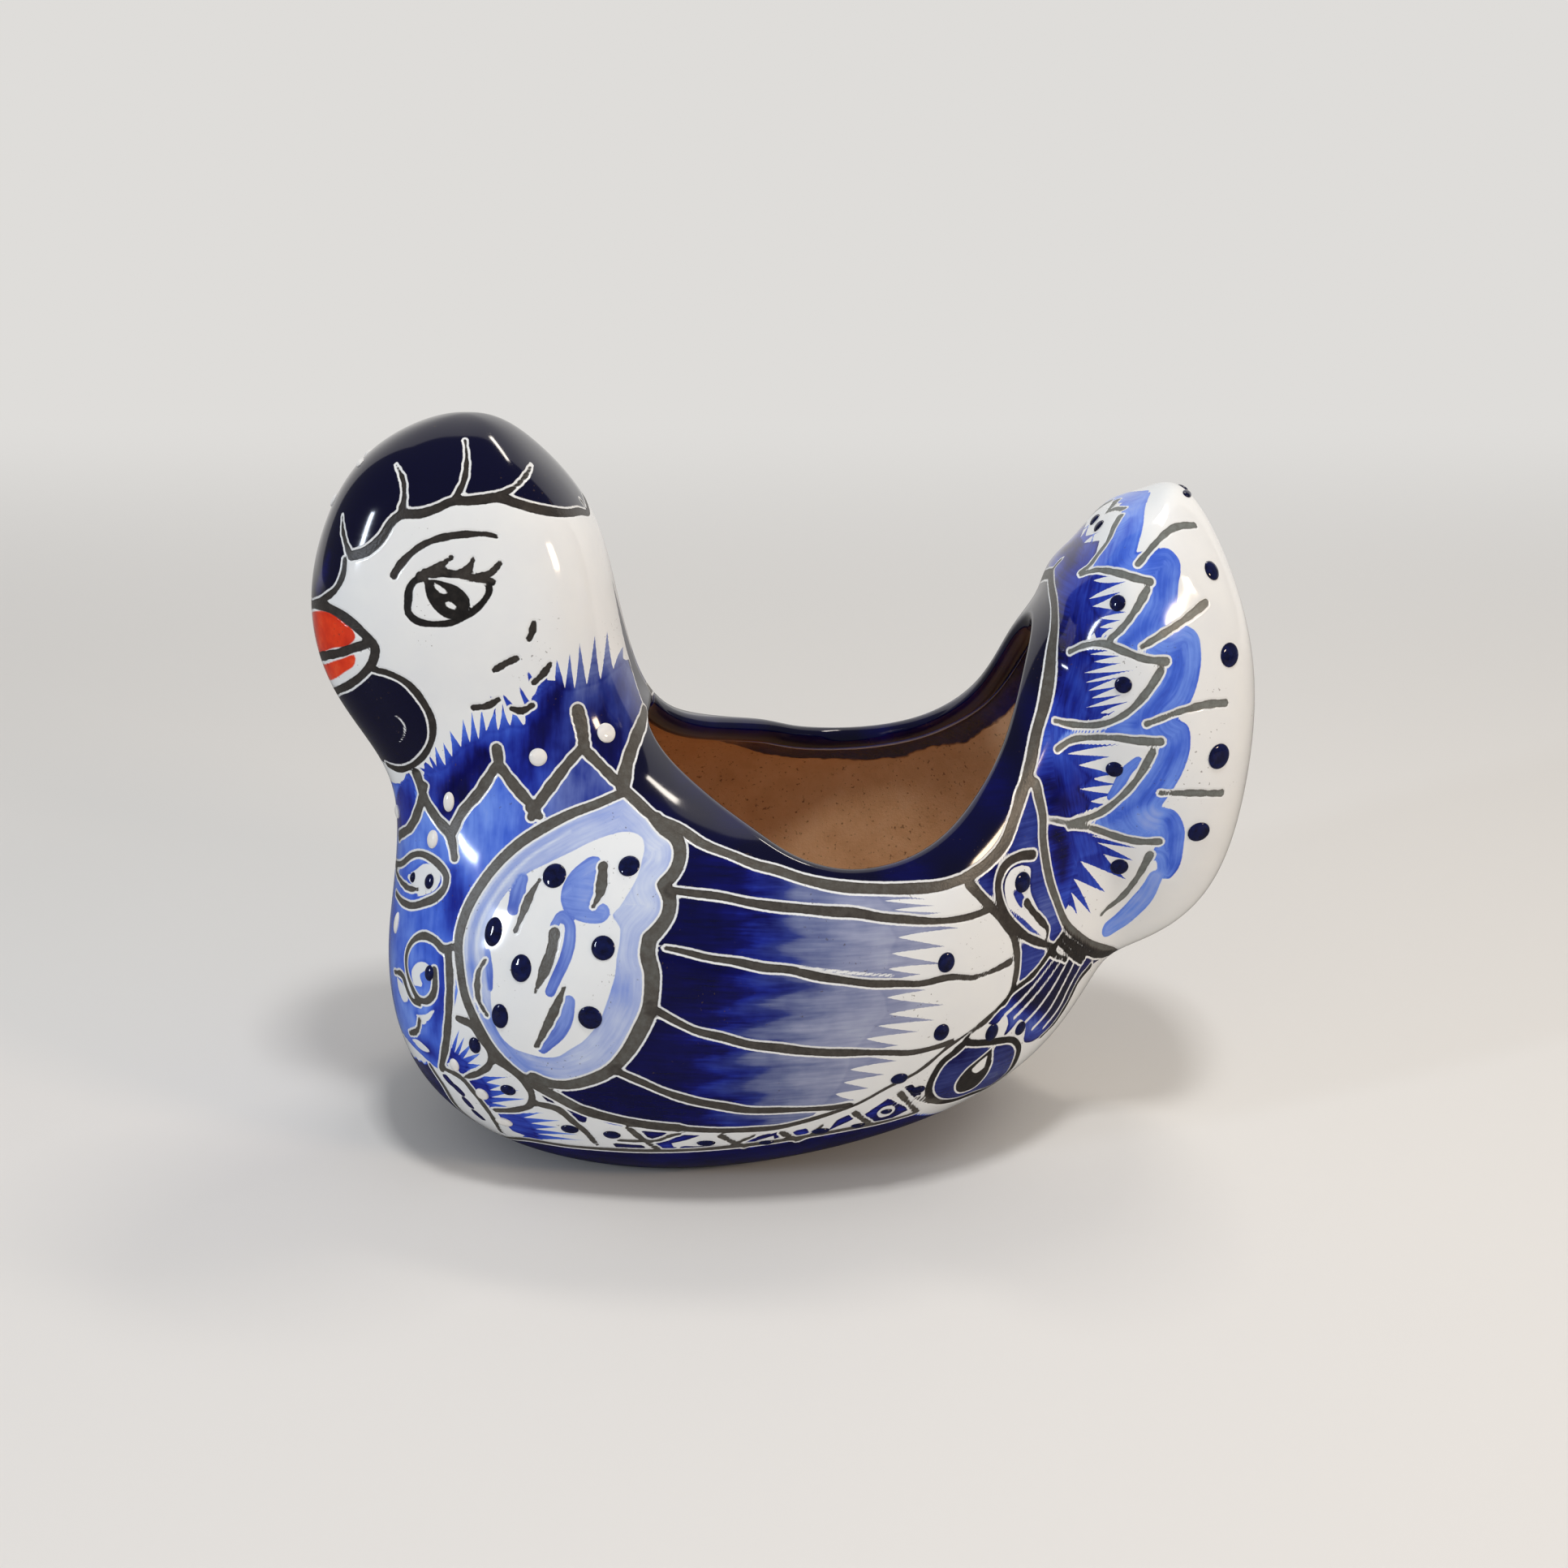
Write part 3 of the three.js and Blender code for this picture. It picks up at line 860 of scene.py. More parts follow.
@dataclass(frozen=True)
class CollarPainting:
    """The feathered collar, the zigzag under it and the breast with its scrolls."""

    notches: tuple = (
        (497, 962), (508, 958), (522, 955), (538, 951), (549, 943), (557, 932), (568, 920), (579, 914),
        (590, 911), (599, 900), (614, 900), (628, 893), (647, 896), (656, 858), (684, 838), (696, 848),
        (708, 848), (723, 843), (740, 837), (756, 824), (769, 812), (786, 838),
    )
    tips: tuple = (
        (500, 944), (511, 940), (521, 936), (536, 919), (546, 915), (554, 900), (571, 886), (581, 876),
        (593, 874), (611, 871), (619, 866), (631, 874), (650, 868), (662, 835), (686, 813), (702, 805),
        (714, 792), (733, 783), (748, 777), (768, 797), (778, 806),
    )
    hairs: tuple = (
        ((609, 869), (604, 856)), ((628, 869), (619, 855)), ((650, 868), (638, 843)),
        ((656, 842), (649, 825)), ((671, 838), (668, 820)), ((512, 960), (505, 945)),
        ((538, 950), (528, 930)), ((530, 953), (517, 946)),
    )
    nape: tuple = ((793, 868), (797, 885), (783, 915), (775, 945), (768, 968))
    zigzag: tuple = (
        (740, 943), (720, 925), (703, 937), (683, 963), (658, 1000), (633, 967), (613, 942), (590, 977),
        (570, 1000), (555, 1030), (537, 1007), (523, 983), (513, 960), (507, 1017), (492, 1030),
        (470, 1035),
    )
    patch_edge: tuple = (
        (737, 990), (703, 1003), (670, 1020), (643, 1037), (617, 1060), (593, 1090), (573, 1127),
        (565, 1160), (567, 1193),
    )
    breast: tuple = (
        (468, 965), (487, 965), (575, 935), (650, 890), (720, 850), (790, 855), (795, 885), (768, 968),
        *patch_edge, (560, 1240), (554, 1260), (550, 1290), (544, 1318), (520, 1300), (470, 1200),
        (455, 1100),
    )
    shadows: tuple = (
        ((690, 850), (672, 890), (650, 950)), ((740, 880), (750, 920), (757, 945)),
        ((590, 930), (565, 975), (545, 1000)),
    )
    breast_shadows: tuple = (
        ((545, 1180), (545, 1220), (535, 1270)), ((560, 1075), (562, 1110), (556, 1140)),
        ((520, 1285), (535, 1300)),
    )
    zigzag_lines: tuple = (
        ((492, 1030), (507, 1017), (520, 983), (523, 968)),
        ((513, 953), (523, 983), (537, 1007), (555, 1030), (560, 1057)),
        ((555, 1030), (570, 1000), (590, 977), (603, 957), (614, 940)),
        ((612, 922), (615, 943), (615, 943), (633, 967), (662, 1000)),
        ((655, 1006), (662, 993), (683, 963), (703, 937), (718, 921)),
        ((722, 925), (740, 943), (760, 963), (770, 972)),
    )
    stem: tuple = ((712, 875), (717, 897), (720, 922))
    nape_line: tuple = ((767, 970), (773, 940), (783, 910), (792, 887), (795, 873))
    nape_edge: tuple = ((757, 695), (759, 740), (768, 785), (780, 830), (793, 868))
    zigzag_cross: tuple = ((651, 995), (665, 1006))
    almond: tuple = (
        (487, 1060), (498, 1062), (508, 1054), (518, 1052), (530, 1057), (542, 1067), (550, 1080),
        (548, 1093), (538, 1105), (523, 1112), (508, 1116), (497, 1112), (488, 1100),
    )
    almond_inner: tuple = ((488, 1071), (495, 1087), (505, 1095), (515, 1096))
    almond_white: tuple = (
        (512, 1072), (525, 1064), (537, 1070), (543, 1081), (538, 1094), (522, 1103), (512, 1104),
        (518, 1096), (508, 1090), (502, 1080),
    )
    scroll: tuple = (
        (557, 1167), (547, 1170), (537, 1160), (522, 1153), (508, 1160), (501, 1175), (501, 1195),
        (507, 1215), (515, 1230), (524, 1234), (534, 1225), (536, 1210), (535, 1195),
    )
    front_scroll: tuple = ((486, 1197), (497, 1204), (502, 1220), (508, 1232), (517, 1237))
    hook: tuple = ((517, 1257), (515, 1268), (505, 1273))
    slivers: tuple = (
        ((510, 1214), (507, 1198), (512, 1188), (524, 1186), (534, 1196), (524, 1196), (517, 1202),
         (521, 1214)),
        ((489, 1203), (498, 1216), (503, 1232), (497, 1234), (491, 1218)),
        ((512, 1250), (524, 1250), (536, 1243), (530, 1255), (520, 1262)),
        ((507, 1280), (516, 1282), (530, 1296), (520, 1294)),
    )
    breast_line: tuple = ((552, 1172), (554, 1200), (553, 1245), (550, 1282), (544, 1318))
    pearls: tuple = (
        ((663, 933), 1.8, 1.8), ((747, 903), 2.1, 2.1), ((553, 988), 1.2, 2.0), ((490, 1000), 1.5, 1.5),
        ((533, 1034), 1.4, 1.9), ((489, 1137), 1.2, 2.4),
    )
    spots: tuple = (((529, 1086), 1.3, 1.6), ((509, 1081), 0.8, 1.1), ((529, 1199), 1.2, 1.6))

    def paint(self, canvas: Canvas) -> None:
        """Paints the collar and the breast on the canvas."""
        canvas.tone = 0.5
        breast = canvas.fill(0.55, self.breast, mottle=0.06, upright=True)
        # Painted light: the breast's cobalt turns greyer and a little darker towards the right, copying how
        # the warm light falls there.
        painted_light_greying = ease(620, 700, canvas.pixels[breast, 0])
        canvas.grey[breast] = 0.65 * painted_light_greying
        canvas.pigment[breast] += 0.08 * painted_light_greying
        feathers = (*sharp(self.notches), *self.nape, *self.zigzag)
        collar = canvas.fill(0.84, feathers, mottle=0.04, upright=True)
        canvas.shade(Stroke(self.notches, (3, 5, 9), 0.68, soft=3))
        collar[canvas.fringe(Fringe(self.notches, self.tips, (0.66, 0.46)))] = True
        # Painted light: the collar turns greyer towards the right, copying how the warm light falls there.
        canvas.grey[collar] = 0.75 * ease(640, 730, canvas.pixels[collar, 0])
        for hair in self.hairs:
            canvas.brush(Stroke(hair, (1.3, 0.8, 0.2), 0.7))
        canvas.shade(*(Stroke(s, (4, 7, 3), 0.95, soft=3.0) for s in self.shadows))
        canvas.shade(*(Stroke(s, (3, 5, 3), 0.8, soft=2.5) for s in self.breast_shadows))
        canvas.lines(*self.zigzag_lines, widths=(2.2, 2.4, 2.0))
        canvas.lines(self.stem, self.nape_line, widths=(3.0, 2.8, 2.4))
        canvas.line(self.zigzag_cross, (1.6, 2.0, 1.6))
        # Painted highlight: a thin white line along the edge of the navy nape band.
        canvas.bare(self.nape_edge, (0.3, 0.6, 0.7))
        canvas.fill(0.55, self.almond)
        canvas.clear(self.almond_white, *self.slivers)
        canvas.line(self.almond, (1.5, 1.7, 1.5))
        canvas.lines(self.front_scroll, self.hook, widths=(1.1, 1.4, 1.2))
        canvas.line(self.almond_inner, (1.0, 1.4, 1.0))
        canvas.line(self.scroll, (1.7, 1.3, 1.6))
        canvas.line(self.breast_line, (1.9, 2.2, 1.5))
        canvas.trail(self.pearls, pale=True)
        canvas.trail(self.spots)


@dataclass(frozen=True)
class ShoulderPainting:
    """The spotted white patch at the root of the wing."""

    middle: Px = (700, 1175)
    outline: tuple = (
        (772, 975), *CollarPainting.patch_edge, (573, 1227), (587, 1260), (610, 1297), (643, 1327),
        (683, 1350), (723, 1370), (763, 1380), (803, 1387), (837, 1390),
    )
    scallops: tuple = (
        (807, 1007), (820, 1023), (833, 1033), (838, 1053), (832, 1073), (818, 1090), (818, 1090),
        (825, 1107), (823, 1127), (813, 1143), (800, 1157), (800, 1157), (798, 1177), (803, 1197),
        (803, 1220), (800, 1243), (787, 1273), (770, 1300), (750, 1320), (723, 1332), (697, 1337),
        (677, 1335), (657, 1327),
    )
    centre: tuple = (
        (750, 1029), (731, 1036), (705, 1049), (674, 1064), (650, 1076), (630, 1093), (615, 1113),
        (603, 1138), (597, 1160), (602, 1181), (604, 1207), (605, 1235), (609, 1260), (618, 1278),
        (632, 1291), (653, 1299), (670, 1303), (687, 1302), (704, 1292), (716, 1285), (729, 1272),
        (739, 1258), (746, 1240), (752, 1222), (758, 1200), (760, 1180), (764, 1155), (764, 1143),
        (755, 1127), (763, 1118), (772, 1104), (780, 1091), (787, 1076), (791, 1060), (794, 1044),
        (791, 1032), (781, 1026), (767, 1025),
    )
    loop: tuple = (
        (738, 1056), (729, 1055), (716, 1063), (703, 1075), (693, 1093), (691, 1110), (696, 1123),
        (709, 1133), (729, 1138), (744, 1136), (751, 1128), (750, 1118), (743, 1113), (731, 1120),
        (727, 1116), (731, 1101), (736, 1083), (737, 1068), (741, 1063),
    )
    pale_strokes: tuple = (
        (((643, 1084), (640, 1092), (637, 1105), (633, 1119)), (3.0, 3.8, 3.2)),
        (((683, 1140), (692, 1128), (701, 1137), (702, 1158), (696, 1182), (687, 1202), (678, 1222)),
         (2.0, 2.8, 2.4)),
        (((701, 1234), (699, 1249), (689, 1270), (669, 1292)), (2.8, 3.6, 2.6)),
        (((601, 1173), (603, 1195), (604, 1217)), (1.4, 1.8, 1.4)),
    )
    dashes: tuple = (
        (((743, 1067), (742, 1083), (739, 1101), (731, 1117)), (2.3, 2.4, 1.0)),
        (((665, 1084), (654, 1102), (643, 1128), (635, 1147)), (1.0, 2.0, 1.0)),
        (((683, 1150), (680, 1169), (671, 1195), (659, 1223)), (2.5, 2.7, 1.0)),
        (((695, 1217), (688, 1234), (676, 1260), (661, 1289)), (1.0, 2.3, 1.0)),
        (((598, 1183), (590, 1196), (588, 1214), (590, 1233), (600, 1251)), (1.0, 1.4, 1.0)),
    )
    spots: tuple = (
        ((683, 1079), 2.5, 2.5), ((775, 1067), 2.2, 2.2), ((608, 1148), 2.0, 3.0), ((642, 1193), 2.3, 2.8),
        ((743, 1168), 2.5, 2.5), ((616, 1252), 1.9, 2.6), ((727, 1254), 2.5, 2.5),
    )

    def paint(self, canvas: Canvas) -> None:
        """Paints the patch on the canvas."""
        canvas.tone = 0.45
        canvas.fill(0.24, (*self.outline[:14], *self.scallops[-2::-1]), mottle=0.05, grain=9, grey=0.35)
        for route, load in ((self.outline[1:14], 0.36), (self.scallops[2:-2], 0.28)):
            canvas.shade(Stroke(self.inset(route, 15), (2.0, 2.4, 2.0), load, soft=1.2))
        for by in (9, 22):
            canvas.shade(Stroke(self.inset(self.outline[2:14], by), (0.4, 0.9, 0.5), 0.08, soft=0.5))
        canvas.shade(Stroke(self.inset(self.outline[9:15], 14), (2, 4, 3), 0.44, soft=1.5))
        canvas.clear(self.centre)
        canvas.fill(0.45, self.loop, grey=0.3)
        for route, widths in self.pale_strokes:
            canvas.brush(Stroke(route, widths, 0.46, 0.56))
        canvas.line(self.outline, (2.2, 2.4, 2.3))
        canvas.line(self.scallops, (3.0, 3.2, 2.6))
        for route, widths in self.dashes:
            canvas.line(route, widths)
        canvas.trail(self.spots)

    def inset(self, route: tuple, by: float) -> tuple:
        """A stretch of the patch's border, moved inwards by so many pixels."""
        ways = [np.subtract(self.middle, pixel) for pixel in route]
        return tuple(tuple(pixel + by * way / np.linalg.norm(way)) for pixel, way in zip(route, ways))


@dataclass(frozen=True)
class RimPainting:
    """The navy band from the nape over the rim of the mouth and up the front of the tail."""

    nape: tuple = (*CollarPainting.nape_edge, *CollarPainting.nape[1:])
    lower_line: tuple = (
        (767, 971), (782, 985), (807, 1007), (833, 1018), (867, 1040), (900, 1053), (930, 1065),
        (957, 1072), (990, 1083), (1033, 1092), (1077, 1095), (1123, 1095), (1157, 1092), (1190, 1082),
        (1217, 1063), (1237, 1040), (1250, 1007), (1260, 977), (1270, 940), (1277, 903), (1287, 867),
        (1293, 830), (1296, 797), (1299, 774), (1299, 747), (1295, 719), (1296, 701), (1303, 688),
    )

    def paint(self, canvas: Canvas) -> None:
        """Paints the band on the canvas."""
        start = canvas.cast((self.nape[0],))[0, 3]
        end = canvas.cast((self.lower_line[-1],))[0, 3]
        canvas.fill(1.0, (*self.nape, *self.lower_line[1:]), ((end, 4), (start, 4)), mottle=0.02)
        canvas.line(self.lower_line[:14], (2.4, 2.3, 2.3))
        canvas.line(self.lower_line[13:], (2.3, 2.6, 2.6))


@dataclass(frozen=True)
class WingPainting:
    """The wing: five long feathers that run out of navy into bare white."""

    lines: tuple = (
        ((827, 1097), (850, 1100), (890, 1105), (923, 1112), (957, 1117), (990, 1120), (1023, 1123),
         (1057, 1125), (1083, 1130), (1117, 1133), (1150, 1135), (1183, 1132), (1203, 1127), (1220, 1120)),
        ((820, 1168), (840, 1172), (873, 1180), (907, 1185), (940, 1192), (973, 1195), (1007, 1203),
         (1040, 1208), (1073, 1212), (1107, 1212), (1134, 1212), (1171, 1204), (1198, 1205)),
        ((805, 1243), (830, 1257), (857, 1270), (890, 1278), (923, 1287), (957, 1291), (990, 1295),
         (1023, 1297), (1057, 1297), (1090, 1297), (1123, 1297), (1147, 1292), (1172, 1284)),
        ((760, 1320), (790, 1333), (823, 1347), (857, 1357), (890, 1363), (923, 1368), (957, 1368),
         (990, 1367), (1023, 1365), (1047, 1361)),
    )
    stub: tuple = ((1198, 1205), (1219, 1198), (1245, 1185))
    border: tuple = (
        (725, 1368), (740, 1373), (783, 1383), (826, 1389), (857, 1392), (883, 1393), (926, 1392),
        (960, 1389), (990, 1382), (1023, 1372), (1057, 1360), (1090, 1342), (1130, 1321),
    )
    border_thin: tuple = (*border[-3:], (1170, 1289), (1197, 1270), (1237, 1235))
    border_double: tuple = ((1197, 1274), (1217, 1257), (1232, 1240))
    border_end: tuple = (
        (1237, 1237), (1247, 1220), (1252, 1200), (1253, 1173), (1248, 1153), (1237, 1137), (1223, 1120),
        (1207, 1103), (1195, 1090),
    )
    start: tuple = (
        (723, 1371), (690, 1353), (660, 1338), *dict.fromkeys(ShoulderPainting.scallops[:0:-1]),
    )
    wing_glint: tuple = ((985, 1191), (1040, 1198), (1100, 1202))
    loads: tuple = (
        (880, 0.97), (935, 0.94), (960, 0.86), (990, 0.8), (1010, 0.66), (1040, 0.6), (1065, 0.5),
        (1140, 0.4),
    )
    notches: tuple = (
        (1082, 1098), (1090, 1110), (1104, 1121), (1094, 1133), (1108, 1155), (1099, 1175), (1096, 1194),
        (1082, 1211), (1094, 1229), (1096, 1250), (1082, 1264), (1068, 1280), (1052, 1298), (1048, 1318),
        (1040, 1334), (1030, 1348), (1012, 1366),
    )
    tips: tuple = (
        (1143, 1107), (1152, 1116), (1158, 1124), (1184, 1143), (1163, 1166), (1165, 1188), (1132, 1200),
        (1140, 1220), (1165, 1238), (1152, 1257), (1132, 1271), (1106, 1288), (1106, 1307), (1090, 1324),
        (1070, 1341), (1054, 1356),
    )
    spots: tuple = (
        ((1166, 1186), 1.9, 2.2), ((1160, 1272), 1.7, 2.0), ((1108, 1329), 1.8, 1.4),
        ((1130, 1343), 1.3, 1.1), ((1222, 1272), 1.6, 2.1), ((1257, 1267), 1.4, 1.7),
    )

    def paint(self, canvas: Canvas) -> None:
        """Paints the wing on the canvas."""
        lower_edge = (*self.border[:9][::-1], *self.start)
        area = (*RimPainting.lower_line[2:11], *sharp(self.notches), *lower_edge)
        wing = np.flatnonzero(canvas.fill(0.97, area, mottle=0))
        wing = np.concatenate([wing, canvas.fringe(Fringe(self.notches, self.tips))])
        across, down = canvas.pixels[wing].T
        points = 2 * np.abs(np.sin(down / 10 + 0.7 * np.sin(across / 37))) - 1
        streak = 15 * points + 9 * np.sin(down / 5.5 + across / 60)
        run = across + streak + 22 + 45 * ease(1205, 1290, down)
        canvas.pigment[wing] = np.interp(run, *zip(*self.loads))
        canvas.grey[wing] = ease(930, 1010, run)
        canvas.tone = 0.62
        canvas.lines(self.lines[0], *self.lines[2:], widths=(1.8, 2.0, 1.6))
        canvas.line(self.lines[1], (1.1, 2.0, 1.3))
        canvas.line(self.stub, (1.3, 1.1, 2.0))
        canvas.line(self.border, (1.9, 1.6, 0.9))
        canvas.line(self.border_thin, (0.9, 0.8, 1.0))
        canvas.line(self.border_double, (0.5, 0.8, 1.0))
        canvas.line(self.border_end, (1.2, 2.0, 2.2))
        # Painted highlight: a thin white line across the navy wing.
        canvas.bare(self.wing_glint, (0.7, 0.8, 0.7))
        canvas.trail(self.spots)


@dataclass(frozen=True)
class TailPainting:
    """The fan of the tail: five feathers, the blue lobes round them and the spokes."""

    border: tuple = (
        (1250, 1003), (1266, 965), (1273, 963), (1280, 983), (1285, 1007), (1285, 1030), (1288, 1057),
        (1293, 1083), (1302, 1110), (1313, 1137), (1333, 1157), (1357, 1170), (1392, 1176),
    )
    feathers: tuple = (
        ((1361, 632), (1373, 627), (1383, 627), (1383, 627), (1380, 636), (1373, 648), (1364, 668),
         (1352, 684), (1343, 696), (1331, 705)),
        ((1333, 707), (1347, 703), (1373, 705), (1397, 712), (1417, 717), (1417, 717), (1413, 727),
         (1400, 750), (1383, 773), (1367, 788)),
        ((1318, 803), (1337, 795), (1360, 793), (1383, 802), (1410, 812), (1437, 815), (1437, 815),
         (1430, 827), (1413, 853), (1390, 877), (1363, 891), (1340, 894), (1317, 892), (1300, 888)),
        ((1303, 923), (1320, 912), (1343, 909), (1370, 909), (1403, 913), (1430, 914), (1430, 914),
         (1420, 927), (1403, 957), (1380, 983), (1353, 1003), (1323, 1013), (1293, 1010)),
        ((1317, 1018), (1343, 1020), (1373, 1030), (1403, 1037), (1428, 1037), (1428, 1037), (1417, 1053),
         (1400, 1083), (1380, 1107), (1357, 1127)),
    )
    lobes: tuple = (
        (1383, 640), (1375, 600), (1408, 594), (1411, 625), (1407, 655), (1400, 681), (1400, 681),
        (1418, 677), (1440, 676), (1453, 690), (1452, 720), (1449, 750), (1439, 776), (1439, 776),
        (1458, 770), (1475, 780), (1480, 805), (1476, 840), (1464, 870), (1450, 886), (1450, 886),
        (1463, 893), (1467, 915), (1460, 945), (1447, 970), (1430, 994), (1430, 994), (1446, 998),
        (1458, 1015), (1458, 1045), (1450, 1073), (1440, 1083), (1429, 1080), (1424, 1060), (1400, 1083),
        (1357, 1120), (1317, 1018), (1300, 890), (1318, 803), (1333, 707), (1353, 640),
    )
    lobe_shades: tuple = (
        ((1395, 640), (1380, 690), (1372, 700)), ((1437, 715), (1425, 760), (1390, 790)),
        ((1455, 800), (1440, 850), (1400, 893)), ((1447, 925), (1420, 975), (1370, 1010)),
        ((1440, 1010), (1445, 1040), (1440, 1065)),
    )
    bare_roots: tuple = (
        ((1338, 632), (1361, 632), (1374, 636), (1364, 660), (1345, 656)),
        ((1338, 712), (1362, 730), (1368, 775), (1345, 795), (1325, 760)),
        ((1325, 1025), (1352, 1045), (1364, 1115), (1340, 1135), (1318, 1100)),
    )
    last_stroke: tuple = ((1424, 1080), (1411, 1103), (1394, 1122), (1378, 1136), (1368, 1143))
    root: tuple = (
        (1331, 661), (1336, 669), (1355, 666), (1350, 684), (1341, 697), (1340, 705), (1347, 712),
        (1342, 738), (1346, 747), (1357, 762), (1355, 773), (1342, 786), (1330, 797), (1344, 806),
        (1350, 815), (1336, 829), (1338, 841), (1341, 851), (1346, 860), (1338, 872), (1352, 880),
        (1330, 895), (1310, 905), (1302, 918), (1315, 928), (1329, 943), (1348, 960), (1329, 972),
        (1346, 988), (1338, 1000), (1318, 1008), (1322, 1022), (1345, 1028), (1352, 1038), (1360, 1053),
        (1331, 1061), (1323, 1084), (1320, 1100), (1317, 1115), (1312, 1121),
    )
    root_shades: tuple = (
        ((1300, 720), (1305, 780), (1300, 850)), ((1292, 960), (1310, 990), (1330, 990)),
        ((1320, 650), (1330, 660), (1322, 690)), ((1300, 1025), (1308, 1050), (1312, 1080)),
    )
    licks: tuple = (
        (((1331, 661), (1336, 669)), ((1357, 654),)),
        (
            ((1340, 705), (1348, 715), (1342, 738), (1346, 747), (1357, 762), (1355, 773), (1356, 784)),
            ((1372, 709), (1389, 716), (1380, 729), (1388, 755), (1381, 764), (1371, 774)),
        ),
        (
            ((1336, 800), (1344, 806), (1350, 815), (1336, 829), (1338, 841), (1341, 851), (1346, 860),
             (1338, 872), (1358, 878), (1342, 892)),
            ((1372, 800), (1381, 808), (1379, 817), (1400, 826), (1381, 833), (1378, 846), (1382, 856),
             (1393, 864), (1372, 879)),
        ),
        (
            ((1310, 914), (1315, 929), (1329, 943), (1350, 960), (1329, 972), (1346, 988), (1338, 1000)),
            ((1382, 916), (1366, 932), (1374, 955), (1378, 966), (1376, 979), (1366, 992)),
        ),
        (
            ((1324, 1023), (1345, 1029), (1352, 1038), (1362, 1053), (1331, 1061), (1323, 1083),
             (1320, 1100), (1318, 1116)),
            ((1384, 1033), (1402, 1045), (1396, 1060), (1388, 1084), (1361, 1099), (1344, 1126),
             (1327, 1129)),
        ),
    )
    inner_stroke: tuple = ((1402, 938), (1390, 948), (1378, 968), (1369, 982))
    spokes: tuple = (
        ((1472, 647), (1447, 650), (1423, 670), (1402, 695)),
        ((1485, 743), (1460, 763), (1430, 783), (1407, 797)),
        ((1510, 866), (1487, 868), (1450, 878), (1413, 892)), ((1505, 977), (1470, 977), (1430, 977)),
    )
    spots: tuple = (
        ((1354, 648), 1.3, 1.4), ((1377, 743), 1.7, 1.7), ((1384, 844), 1.7, 1.7), ((1373, 948), 1.8, 1.7),
        ((1379, 1068), 1.9, 1.8), ((1462, 608), 1.9, 1.0), ((1493, 703), 2.1, 2.1), ((1515, 807), 2.5, 2.5),
        ((1502, 932), 2.6, 2.6), ((1477, 1025), 2.4, 2.2),
    )

    def paint(self, canvas: Canvas) -> None:
        """Paints the tail on the canvas."""
        canvas.fill(0.5, self.lobes, mottle=0.05, grain=8)
        canvas.shade(*(Stroke(shade, (2, 3, 2), 0.62, soft=1.6) for shade in self.lobe_shades))
        canvas.clear(*self.feathers, *self.bare_roots)
        canvas.brush(Stroke(self.last_stroke, (3.4, 4.8, 5.0), 0.42))
        canvas.brush(Stroke(self.inner_stroke, (2.2, 2.6, 2.0), 0.5))
        area = (*self.root, *self.border[::-1][3:], *RimPainting.lower_line[17:])
        canvas.fill(0.8, sharp(area), mottle=0.05)
        canvas.shade(*(Stroke(shade, (3, 5, 3), 0.95, soft=3) for shade in self.root_shades))
        for notches, tips in self.licks:
            canvas.fringe(Fringe(notches, tips, (0.76, 0.62)))
        canvas.tone = 0.22
        for feather in self.feathers:
            corner = next(i for i, ends in enumerate(zip(feather, feather[1:])) if ends[0] == ends[1])
            canvas.line(feather[:corner + 1], (1.2, 1.5, 1.9))
            canvas.line(feather[corner + 2:], (1.7, 1.5, 1.1))
        canvas.lines(*self.spokes, widths=(1.9, 1.6, 1.25))
        canvas.tone = 0.4
        canvas.line(self.border, (2.0, 2.2, 3.4))
        canvas.trail(self.spots)


